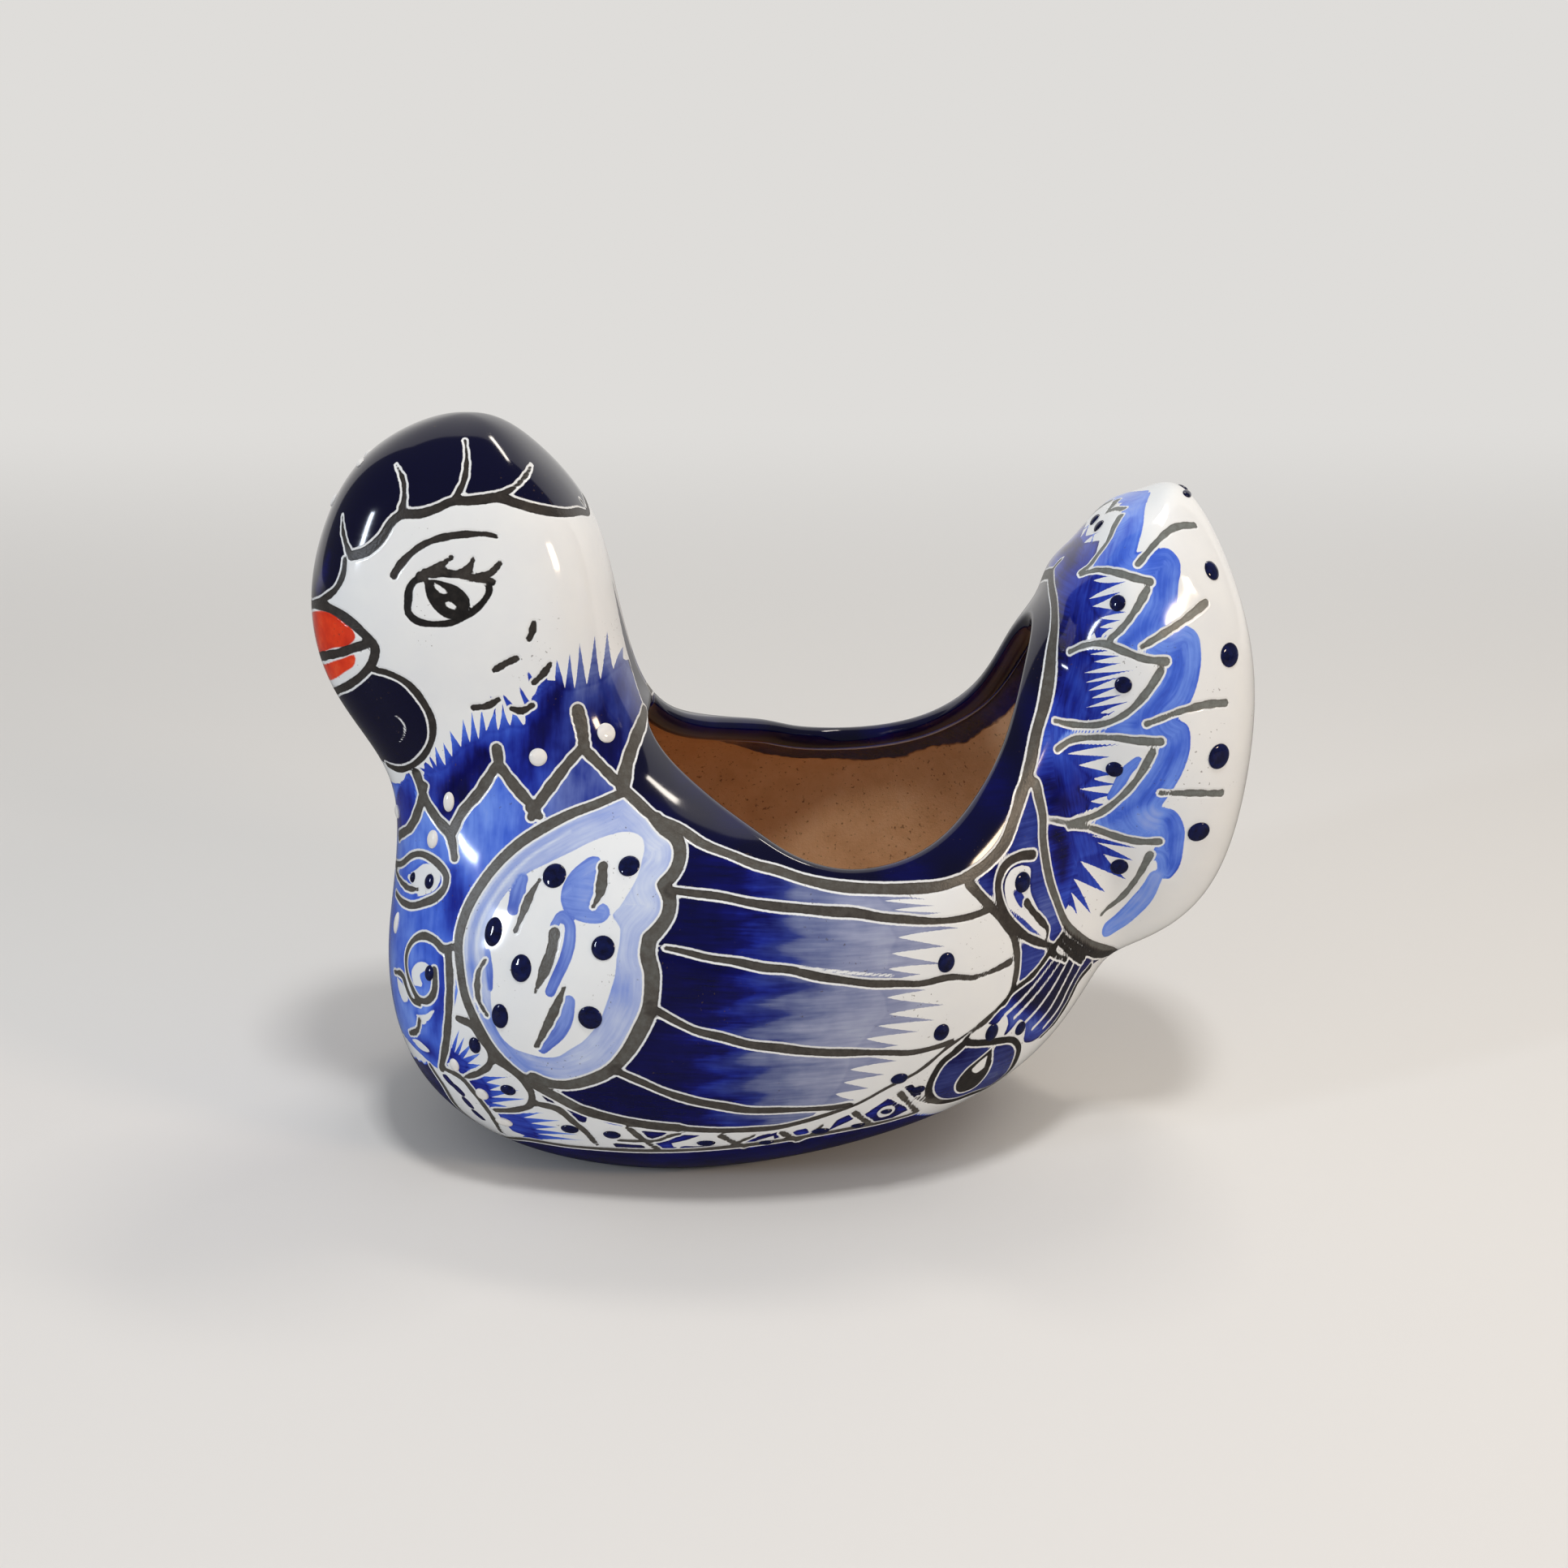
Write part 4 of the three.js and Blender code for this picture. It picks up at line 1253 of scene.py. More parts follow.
@dataclass(frozen=True)
class RumpPainting:
    """The leaf, the tied bundle and the scroll under the tail."""

    leaf: tuple = (
        (1273, 1053), (1257, 1055), (1238, 1067), (1230, 1087), (1232, 1110), (1243, 1133), (1263, 1153),
        (1283, 1162), (1300, 1167),
    )
    leaf_vein: tuple = ((1265, 1112), (1271, 1121), (1284, 1136), (1291, 1146), (1290, 1156))
    ground: tuple = (
        (1195, 1085), (1217, 1063), (1237, 1040), (1250, 1007), (1266, 967), (1280, 983), (1285, 1030),
        (1293, 1083), (1302, 1110), (1313, 1137), (1310, 1155), (1270, 1200), (1250, 1225), (1253, 1173),
        (1237, 1137), (1207, 1103),
    )
    heart: tuple = (
        (1259, 1066), (1246, 1072), (1239, 1085), (1239, 1106), (1243, 1119), (1250, 1130), (1262, 1145),
        (1277, 1156), (1290, 1158), (1292, 1150), (1284, 1130), (1275, 1112), (1270, 1100), (1269, 1085),
        (1270, 1070),
    )
    petals: tuple = (
        ((1247, 1097), (1253, 1096), (1262, 1105), (1263, 1112), (1260, 1119), (1253, 1112)),
        ((1244, 1119), (1253, 1126), (1262, 1133), (1271, 1142), (1283, 1153), (1287, 1157), (1277, 1156),
         (1262, 1145), (1250, 1130)),
    )
    bundle: tuple = (
        (1310, 1152), (1295, 1172), (1271, 1203), (1249, 1221), (1234, 1239), (1216, 1260), (1228, 1262),
        (1238, 1250), (1242, 1262), (1236, 1278), (1248, 1266), (1256, 1256), (1263, 1262), (1262, 1284),
        (1270, 1284), (1283, 1276), (1298, 1263), (1313, 1239), (1328, 1209), (1343, 1191), (1352, 1184),
        (1371, 1181), (1350, 1178), (1333, 1170), (1320, 1159),
    )
    ties: tuple = (
        ((1292, 1172), (1302, 1178), (1313, 1182)), ((1304, 1160), (1318, 1174), (1333, 1186)),
        ((1310, 1153), (1322, 1166), (1336, 1180)),
    )
    partings: tuple = (
        ((1301, 1179), (1283, 1203), (1262, 1228), (1238, 1251)),
        ((1309, 1181), (1292, 1206), (1271, 1232), (1250, 1254)),
        ((1316, 1183), (1300, 1212), (1281, 1240), (1259, 1264)),
        ((1324, 1185), (1309, 1215), (1292, 1245), (1272, 1268)),
        ((1333, 1188), (1318, 1215), (1304, 1243), (1286, 1266)),
    )
    bundle_tip: tuple = ((1240, 1250), (1258, 1262), (1282, 1270))
    strands: tuple = (
        bundle[:5], ((1343, 1191), (1330, 1207), (1314, 1238), (1298, 1262), (1282, 1278)),
        ((1312, 1157), (1332, 1170), (1352, 1178), (1373, 1179)),
    )
    scroll: tuple = (
        (1190, 1284), (1181, 1293), (1162, 1308), (1150, 1326), (1144, 1344), (1149, 1355), (1174, 1356),
        (1198, 1347), (1222, 1337), (1240, 1323), (1252, 1305), (1255, 1290), (1246, 1281), (1234, 1282),
        (1219, 1284), (1198, 1285),
    )
    scroll_start: tuple = ((1192, 1278), (1187, 1285), (1178, 1293))
    comma: tuple = (
        (1222, 1292), (1209, 1303), (1190, 1319), (1178, 1336), (1183, 1346), (1200, 1340), (1212, 1328),
        (1221, 1311),
    )
    comma_heart: tuple = ((1217, 1300), (1206, 1309), (1197, 1319), (1203, 1322), (1213, 1315))
    spots: tuple = (((1260, 1087), 2.1, 2.1),)

    def paint(self, canvas: Canvas) -> None:
        """Paints the rump on the canvas."""
        canvas.tone = 0.75
        canvas.fill(0.78, self.ground, mottle=0.05, grey=0.7)
        canvas.clear(self.heart)
        for petal in self.petals:
            canvas.fill(0.72, petal, grey=0.5)
        canvas.fill(0.96, self.bundle, grain=6, grey=0.5)
        canvas.shade(Stroke(self.bundle_tip, (5, 6, 4), 0.7, soft=3))
        canvas.line(self.leaf, (1.9, 2.1, 1.6))
        canvas.line(self.leaf_vein, (1.8, 1.8, 0.9))
        canvas.tone = 0.9
        canvas.lines(*self.strands, widths=(1.6, 1.3, 1.1))
        for parting in self.partings:
            canvas.bare(parting, (0.6, 0.7, 0.9))
        canvas.lines(*self.ties, widths=(1.2, 1.5, 1.2))
        canvas.fill(0.78, self.scroll, mottle=0.05, grey=1)
        canvas.line((*self.scroll, self.scroll[0]), (1.8, 1.8, 1.8))
        canvas.line(self.scroll_start, (0.8, 1.2, 1.6))
        canvas.flood(canvas.outline, self.comma)
        canvas.flood(canvas.scratch, self.comma_heart)
        canvas.trail(self.spots)


@dataclass(frozen=True)
class HemPainting:
    """The narrow band under the wing and the blue base."""

    lower_line: tuple = (
        (530, 1312), (545, 1335), (570, 1370), (605, 1395), (650, 1404), (700, 1412), (750, 1416),
        (800, 1418), (850, 1417), (900, 1413), (950, 1407), (1000, 1399), (1050, 1390), (1090, 1382),
        (1125, 1372),
    )
    band: tuple = ((548, 1317), (567, 1327), (587, 1350), (607, 1377), (618, 1396))
    scallops: tuple = (
        ((564, 1255), (580, 1262), (595, 1283), (605, 1298), (603, 1312), (592, 1321), (575, 1327)),
        ((607, 1305), (630, 1318), (646, 1333), (655, 1348), (654, 1361), (638, 1367), (610, 1368)),
        ((662, 1360), (688, 1367), (706, 1382), (722, 1395), (735, 1410)),
    )
    roots: tuple = (
        ((552, 1300), (556, 1290), (560, 1298), (564, 1300), (570, 1304), (577, 1310), (576, 1320),
         (572, 1328)),
        ((570, 1330), (590, 1325), (600, 1335), (604, 1344), (606, 1354), (606, 1366), (590, 1352)),
        ((612, 1370), (630, 1371), (646, 1378), (655, 1386), (660, 1395), (665, 1404), (632, 1394)),
    )
    licks: tuple = (
        (
            ((552, 1300), (556, 1290), (560, 1298), (565, 1300), (571, 1304), (577, 1310), (576, 1320)),
            ((557, 1264), (566, 1268), (572, 1278), (581, 1286), (592, 1298), (596, 1313)),
        ),
        (
            ((588, 1325), (600, 1334), (604, 1343), (606, 1352), (607, 1359), (606, 1367)),
            ((628, 1326), (616, 1338), (640, 1343), (648, 1354), (630, 1365)),
        ),
        (
            ((630, 1371), (646, 1377), (655, 1384), (660, 1391), (663, 1397), (665, 1404)),
            ((668, 1370), (690, 1381), (686, 1389), (712, 1398), (722, 1406)),
        ),
    )
    sliver: tuple = ((663, 1348), (690, 1358), (722, 1372), (722, 1383), (690, 1368))
    slashes: tuple = (
        ((774, 1390), (811, 1416)), ((889, 1400), (916, 1413)), ((964, 1396), (983, 1405)),
        ((1053, 1371), (1074, 1386)), ((1109, 1347), (1130, 1370)),
    )
    hairlines: tuple = (
        ((762, 1405), (787, 1406), (812, 1405), (827, 1399), (838, 1397)), ((911, 1407), (930, 1399)),
        ((1130, 1353), (1145, 1358), (1158, 1356)), ((986, 1404), (1000, 1397), (1014, 1386)),
    )
    blocks: tuple = (
        ((789, 1393), (828, 1396), (801, 1404)), ((754, 1408), (793, 1411), (796, 1415), (760, 1415)),
        ((803, 1408), (822, 1406), (840, 1398), (864, 1399), (845, 1405), (827, 1409), (833, 1416),
         (814, 1416)),
        ((838, 1412), (890, 1411), (892, 1415), (836, 1416)),
        ((912, 1411), (922, 1404), (944, 1397), (958, 1398), (934, 1405), (922, 1410), (932, 1414),
         (914, 1415)),
        ((952, 1396), (962, 1394), (972, 1402), (982, 1404), (972, 1408), (956, 1410)),
        ((975, 1394), (994, 1390), (1000, 1400), (986, 1403)),
        ((1010, 1400), (1032, 1397), (1040, 1394), (1020, 1402)),
        ((1058, 1371), (1050, 1380), (1034, 1387), (1020, 1393), (1031, 1380), (1044, 1374)),
        ((1060, 1376), (1095, 1353), (1122, 1366), (1085, 1384)),
        ((1113, 1339), (1124, 1336), (1136, 1348), (1128, 1354)),
    )
    lozenge: tuple = ((1080, 1372), (1087, 1365), (1098, 1362), (1103, 1366), (1096, 1374), (1085, 1377))
    blue_edge: tuple = ((728, 1374), (745, 1381), (770, 1388))
    spots: tuple = (
        ((585, 1288), 1.4, 1.8), ((626, 1343), 1.7, 1.3), ((702, 1391), 1.9, 1.2), ((754, 1398), 1.8, 1.1),
        ((870, 1408), 1.9, 0.8), ((944, 1407), 1.6, 0.6), ((1011, 1393), 1.9, 0.9),
        ((1057, 1386), 1.5, 0.6), ((1092, 1369), 1.3, 0.7), ((1133, 1342), 1.2, 1.0),
    )
    pearls: tuple = (((560, 1312), 1.2, 1.5), ((594, 1348), 1.5, 1.5), ((621, 1382), 2.0, 1.4))
    run_out: tuple[float, float] = (0.3, 1.2)
    band_marks: tuple = (
        ((549, 1327), (556, 1335)), ((561, 1339), (569, 1347)), ((573, 1355), (580, 1363)),
        ((585, 1370), (594, 1378)),
    )

    def paint(self, canvas: Canvas) -> None:
        """Paints the base and the band on the canvas."""
        stations, arounds = canvas.params.T
        base = np.flatnonzero(arounds < np.interp(stations, *self.height(canvas)))
        canvas.pigment[base] = 0.95
        canvas.cover[base] = -FAR
        for root in self.roots:
            canvas.fill(0.78, sharp(root), mottle=0.04)
        for notches, tips in self.licks:
            canvas.fringe(Fringe(notches, tips, (0.66, 0.4)))
        canvas.fill(0.97, self.sliver)
        canvas.tone = 0.5
        canvas.line(self.lower_line, (1.2, 1.5, 1.2))
        canvas.line(self.band, (1.2, 1.6, 1.0))
        canvas.lines(*self.scallops, widths=(1.6, 1.9, 1.2))
        canvas.lines(*self.slashes, widths=(1.6, 1.6, 1.3))
        canvas.lines(*self.hairlines, widths=(0.8, 1.0, 0.8))
        for block in self.blocks:
            canvas.fill(0.88, sharp((*block, block[0])))
        canvas.clear(self.lozenge)
        canvas.brush(Stroke(self.blue_edge, (0.8, 1.0, 0.6), 0.6))
        for mark in self.band_marks:
            canvas.brush(Stroke(mark, (1.9, 2.1, 1.9), 0.93))
        canvas.trail(self.spots)
        canvas.trail(self.pearls, pale=True)

    def height(self, canvas: Canvas) -> tuple:
        """Stations along the lower line and where the line lies round the hen there."""
        station, around = canvas.path(self.lower_line)[:, 3:5].T
        order = np.argsort(station)
        front, back = self.run_out
        stations = [station.min() - front, *station[order], station.max() + back]
        return stations, [0, *around[order], 0]


@dataclass
class ClayShells:
    """The six pressed half shells as closed skins: glazed outside, lip, lining and joint faces."""

    grid: ShellGrid
    canvas: Canvas
    low: Vector
    high: Vector
    drain_diameter: float = 10
    drain_place: float = -0.113
    drain_sides: int = 64
    rim_rows: int = 60
    rim_columns: int = 22
    points: np.ndarray = field(init=False)
    normals: np.ndarray = field(init=False)
    layers: dict = field(init=False)
    rows: np.ndarray = field(init=False)

    def __post_init__(self) -> None:
        """Lays the rings of clay: skin, lip and lining, row after row."""
        grid, form = self.grid, self.grid.form
        every = grid.columns // grid.lining_columns
        station, around = grid.station[:, ::every], grid.around[:, ::every]
        inward = form.normal(station, around, None)
        inward[0], inward[-1] = grid.normals[0, 0], grid.normals[-1, 0]
        lining = form.skin(station, around, None) - form.wall * inward
        lining[..., 2] = form.settled(lining[..., 2], form.wall)
        lining[:, 0, 1] = 0
        lining[grid.closed, -1, 1] = 0
        slope = np.cross(np.gradient(lining, axis=0), np.gradient(lining, axis=1))
        flat = np.linalg.norm(slope, axis=-1) < 1e-4
        lining_normals = np.where(flat[..., None], -inward, -unit(slope))
        first, last = grid.mouth_rows
        doubled = [*range(first + 1), *range(first, last + 1), *range(last, len(grid.station))]
        self.rows = np.array(doubled)
        lip, lip_normals = self.lip(grid.points[:, -1], lining[:, -1], first, last)
        number = np.arange(len(self.rows))
        shut = (number <= first) | (number > last + 1)
        lip, lip_normals = lip[self.rows], lip_normals[self.rows]
        lip[shut] = grid.points[self.rows[shut], -1:]
        self.points = np.concatenate([grid.points[self.rows], lip, lining[self.rows][:, ::-1]], 1)
        inside = lining_normals[self.rows][:, ::-1]
        self.normals = np.concatenate([grid.normals[self.rows], lip_normals, inside], 1)
        self.layers = self.spread_layers(lining)

    def lip(self, outer: np.ndarray, inner: np.ndarray, first: int, last: int) -> tuple:
        """The half-round lip over the rim: its points and its normals."""
        grid = self.grid
        along = np.gradient(outer, axis=0)
        along[first : last + 1] = np.gradient(outer[first : last + 1], axis=0)
        along[first], along[last] = (0, -1, 0), (0, 1, 0)
        lean = unit(np.cross(grid.normals[:, -1], along))
        middle, radius = (outer + inner) / 2, (outer - inner) / 2
        turns = np.pi * np.arange(1, grid.lip_columns) / grid.lip_columns
        reach = np.linalg.norm(radius, axis=-1, keepdims=True)
        normals = [unit(unit(radius) * math.cos(t) + lean * math.sin(t)) for t in turns]
        points = [middle + radius * math.cos(t) + lean * reach * math.sin(t) for t in turns]
        return np.stack(points, 1), np.stack(normals, 1)

    def spread_layers(self, lining: np.ndarray) -> dict:
        """The painted layers on every ring, and how deep below the rim the lining lies."""
        grid, canvas = self.grid, self.canvas
        first, last = grid.mouth_rows
        tree = tree_of(lining[first : last + 1, -1])
        depth = np.full(lining.shape[:2], FAR)
        for i, j in np.ndindex(*depth.shape):
            at_ends = min(abs(i - first), abs(i - last)) < self.rim_rows
            if at_ends or (first <= i <= last and j > grid.lining_columns - self.rim_columns):
                depth[i, j] = tree.find(lining[i, j])[2]
        wide = grid.lip_columns - 1
        layers = {}
        unpainted = np.zeros((len(self.rows), grid.lining_columns + 1))
        for name in LAYERS:
            skin = getattr(canvas, name).reshape(grid.station.shape)[self.rows]
            edge = np.repeat(skin[:, -1:], wide, 1)
            if name in ("outline", "scratch"):
                edge = edge + np.arange(1, wide + 1)
            layers[name] = np.concatenate([skin, edge, unpainted], 1)
        outside = np.zeros((len(self.rows), grid.columns + 1 + wide))
        layers["rim"] = np.concatenate([outside, depth[self.rows][:, ::-1]], 1)
        return layers

    def faces(self, start: int, stop: int) -> tuple[np.ndarray, np.ndarray]:
        """Triangles of the rings from start to stop, and the material of each."""
        count = self.points.shape[1]
        skin = self.grid.columns + self.grid.lip_columns
        i, j = (a.ravel() for a in np.mgrid[start:stop, 0:count])
        k = (j + 1) % count
        a, b, c, d = i * count + j, (i + 1) * count + j, (i + 1) * count + k, i * count + k
        body = np.concatenate([np.stack([a, b, c], 1), np.stack([a, c, d], 1)])
        material = np.tile((j >= skin).astype(int), 2)
        every = self.grid.columns // self.grid.lining_columns
        cap = []
        for m in range(self.grid.lining_columns):
            inner = count - 1 - m
            cap += [(every * m + q, every * m + q + 1, inner) for q in range(every)]
            cap.append((every * (m + 1), inner - 1, inner))
        cap = np.array(cap)
        ends = np.concatenate([cap + start * count, cap[:, ::-1] + stop * count])
        return np.concatenate([body, ends]), np.concatenate([material, np.ones(len(ends), int)])

    def build(self, member: Member, hand: str, materials: tuple) -> bpy.types.Object:
        """Makes one shell.

        Args:
            member: Which member of the hen.
            hand: "left" or "right"; the right one is the left one's mirror image.
            materials: The glaze and the bare clay.

        Returns:
            The shell's object.
        """
        low, high = self.grid.spans[member]
        start = int(np.flatnonzero(self.rows == low)[0])
        stop = int(np.flatnonzero(self.rows == high)[-1])
        faces, material = self.faces(start, stop)
        flat = self.points.reshape(-1, 3)
        used, local = np.unique(faces, return_inverse=True)
        keys = np.round(flat[used] * 1e4).astype(np.int64)
        _, firsts, merged = np.unique(keys, axis=0, return_index=True, return_inverse=True)
        faces = merged.ravel()[local.reshape(faces.shape)]
        real = (faces[:, 0] != faces[:, 1]) & (faces[:, 1] != faces[:, 2]) & (faces[:, 2] != faces[:, 0])
        faces, material = faces[real], material[real]
        chosen = used[firsts]
        points = flat[chosen] - (self.grid.middle, 0, 0)
        normals = self.normals.reshape(-1, 3)[chosen].copy()
        if hand == "right":
            points = points * (1, -1, 1)
            normals = normals * (1, -1, 1)
            faces = faces[:, ::-1]
        points = np.clip(points * MM, self.low, self.high)
        mesh = mesh_of(f"{member.value}_{hand}_shell", points, faces, material)
        for finish in materials:
            mesh.materials.append(finish)
        layers = {name: values.ravel()[chosen] for name, values in self.layers.items()}
        shell = put(mesh.name, mesh)
        if member is Member.BOWL:
            layers, normals = self.drill(shell, points, layers, normals)
        for name, values in layers.items():
            layer = shell.data.attributes.new(name, "FLOAT", "POINT")
            layer.data.foreach_set("value", values.astype(np.float32))
        shell.data.shade_smooth()
        shell.data.normals_split_custom_set_from_vertices(normals.tolist())
        counts = len(shell.data.vertices), len(shell.data.polygons)
        LOG.info("%s: %d vertices, %d triangles", shell.name, *counts)
        return shell

    def drill(
        self, shell: bpy.types.Object, points: np.ndarray, layers: dict, normals: np.ndarray
    ) -> tuple:
        """Cuts the drain hole through the floor and gives the layers and normals of what is left."""
        wall, count = self.grid.form.wall * MM, self.drain_sides
        turns = np.linspace(0, 2 * np.pi, count + 1)[:-1]
        ring = np.stack([np.cos(turns), np.sin(turns)], 1) * self.drain_diameter / 2 * MM
        ring[:, 0] += (self.drain_place * self.grid.form.length - self.grid.middle) * MM
        rings = [np.column_stack([ring, np.full(count, z)]) for z in (-wall, 3 * wall)]
        quads = [(i, (i + 1) % count, count + (i + 1) % count, count + i) for i in range(count)]
        ends = tuple(range(count))[::-1], tuple(range(count, 2 * count))
        tube = bpy.data.meshes.new("drain_tool")
        tube.from_pydata(np.concatenate(rings).tolist(), [], [*quads, *ends])
        tool = put("drain_tool", tube)
        cut = shell.modifiers.new("drain", "BOOLEAN")
        cut.object = tool
        cut.operation = "DIFFERENCE"
        cut.solver = "MANIFOLD"
        ready = shell.evaluated_get(bpy.context.evaluated_depsgraph_get())
        drilled = bpy.data.meshes.new_from_object(ready)
        shell.modifiers.remove(cut)
        plain = shell.data
        shell.data = drilled
        bpy.data.meshes.remove(plain)
        drilled.name = shell.name
        bpy.data.objects.remove(tool)
        bpy.data.meshes.remove(tube)
        tree = tree_of(points)
        origin = np.array([tree.find(v.co)[1] for v in drilled.vertices])
        return {name: values[origin] for name, values in layers.items()}, normals[origin]


def mesh_of(name: str, points: np.ndarray, faces: np.ndarray, material: np.ndarray) -> bpy.types.Mesh:
    """A mesh of triangles.

    Args:
        name: The mesh's name.
        points: Vertices in metres.
        faces: Vertex numbers, three a row.
        material: Material number of each triangle.

    Returns:
        The mesh.
    """
    mesh = bpy.data.meshes.new(name)
    mesh.vertices.add(len(points))
    mesh.vertices.foreach_set("co", points.astype(np.float32).ravel())
    mesh.loops.add(3 * len(faces))
    mesh.loops.foreach_set("vertex_index", faces.astype(np.int32).ravel())
    mesh.polygons.add(len(faces))
    mesh.polygons.foreach_set("loop_start", np.arange(0, 3 * len(faces), 3, dtype=np.int32))
    mesh.polygons.foreach_set("material_index", material.astype(np.int32))
    mesh.update(calc_edges=True)
    return mesh


@dataclass
class GlazeDots:
    """Low drops of thick glaze trailed on to the paint, scattered as instances of one dome."""

    relief: float = 0.65
    spread: float = 1.12
    unevenness: float = 0.06
    seed: int = 4

    def tree(self) -> bpy.types.NodeTree:
        """The node group that turns points into domes."""
        tree = bpy.data.node_groups.new("trailed_glaze_dots", "GeometryNodeTree")
        for name, kind, way in (
            ("Geometry", "NodeSocketGeometry", "INPUT"),
            ("Unevenness", "NodeSocketFloat", "INPUT"),
            ("Seed", "NodeSocketInt", "INPUT"),
            ("Dark glaze", "NodeSocketMaterial", "INPUT"),
            ("Pale glaze", "NodeSocketMaterial", "INPUT"),
            ("Geometry", "NodeSocketGeometry", "OUTPUT"),
        ):
            tree.interface.new_socket(name, in_out=way, socket_type=kind)
        given = add(tree, "NodeGroupInput").outputs
        dome = add(tree, "GeometryNodeMeshUVSphere", {"Segments": 28, "Rings": 14, "Radius": 1.0})
        layers = [
            add(tree, "GeometryNodeInputNamedAttribute", {"Name": name}, data_type=kind)
            for name, kind in (("radii", "FLOAT_VECTOR"), ("aim", "FLOAT_VECTOR"), ("pale", "FLOAT"))
        ]
        radii, aim, paleness = (layer.outputs["Attribute"] for layer in layers)
        shrunk = {0: 1.0, 1: given["Unevenness"]}
        least = add(tree, "ShaderNodeMath", shrunk, operation="SUBTRACT").outputs[0]
        between = {2: least, 3: 1.0, "Seed": given["Seed"]}
        size = add(tree, "FunctionNodeRandomValue", between, data_type="FLOAT").outputs[1]
        sized = {0: radii, "Scale": size}
        scale = add(tree, "ShaderNodeVectorMath", sized, operation="SCALE").outputs[0]
        turn = add(tree, "FunctionNodeEulerToRotation", {0: aim}).outputs[0]
        told = {0: paleness, 1: 0.5}
        pale = add(tree, "FunctionNodeCompare", told, operation="GREATER_THAN").outputs[0]
        dark = add(tree, "FunctionNodeBooleanMath", {0: pale}, operation="NOT").outputs[0]
        join = add(tree, "GeometryNodeJoinGeometry")
        for chosen, glaze in ((dark, "Dark glaze"), (pale, "Pale glaze")):
            seats = {"Points": given["Geometry"], "Selection": chosen, "Instance": dome.outputs[0]}
            domes = add(tree, "GeometryNodeInstanceOnPoints", {**seats, "Rotation": turn, "Scale": scale})
            real = add(tree, "GeometryNodeRealizeInstances", {0: domes.outputs[0]}).outputs[0]
            soft = add(tree, "GeometryNodeSetShadeSmooth", {0: real}).outputs[0]
            done = add(tree, "GeometryNodeSetMaterial", {0: soft, "Material": given[glaze]}).outputs[0]
            tree.links.new(done, join.inputs[0])
        add(tree, "NodeGroupOutput", {0: join.outputs[0]})
        return tree

    def build(
        self, name: str, dots: list, mirror: bool, middle: float, group: bpy.types.NodeTree,
        materials: tuple,
    ) -> bpy.types.Object:
        """Makes the dots of one member on one side.

        Args:
            name: The object's name.
            dots: Place, normal, radii and paleness of each, in millimetres.
            mirror: Whether they go on the hen's right side.
            middle: How far the hen moves back to stand over the origin.
            group: The node group that makes the domes.
            materials: The dark glaze and the pale glaze.

        Returns:
            The dots' object, its modifier applied.
        """
        side = np.array([1, -1 if mirror else 1, 1])
        seats = bpy.data.meshes.new(name)
        seats.from_pydata([((d[0] - (middle, 0, 0)) * side * MM).tolist() for d in dots], [], [])
        for finish in materials:
            seats.materials.append(finish)
        aims = [self.aim(d[1] * side) for d in dots]
        radii = [(self.spread * d[2][0] * MM, self.spread * d[2][1] * MM, self.relief * MM) for d in dots]
        for layer, kind, field_, values in (
            ("radii", "FLOAT_VECTOR", "vector", radii),
            ("aim", "FLOAT_VECTOR", "vector", aims),
            ("pale", "FLOAT", "value", [float(d[3]) for d in dots]),
        ):
            seats.attributes.new(layer, kind, "POINT").data.foreach_set(field_, np.array(values).ravel())
        piece = put(name, seats)
        modifier = piece.modifiers.new("dots", "NODES")
        modifier.node_group = group
        sockets = {s.name: s.identifier for s in group.interface.items_tree if s.in_out == "INPUT"}
        modifier[sockets["Unevenness"]] = self.unevenness
        modifier[sockets["Seed"]] = self.seed
        modifier[sockets["Dark glaze"]], modifier[sockets["Pale glaze"]] = materials
        ready = piece.evaluated_get(bpy.context.evaluated_depsgraph_get())
        domes = bpy.data.meshes.new_from_object(ready)
        piece.modifiers.clear()
        piece.data = domes
        bpy.data.meshes.remove(seats)
        domes.name = name
        LOG.info("%s: %d dots, %d faces", name, len(dots), len(domes.polygons))
        return piece

    def aim(self, normal: np.ndarray) -> tuple:
        """Euler turn that stands a dome on the skin, its first axis level and its second upwards."""
        normal = Vector(normal).normalized()
        right = Vector((0, 0, 1)).cross(normal)
        right = right.normalized() if right.length > 1e-6 else Vector((1, 0, 0))
        up = normal.cross(right)
        turn = Matrix((right, up, normal)).transposed()
        return tuple(turn.to_euler())


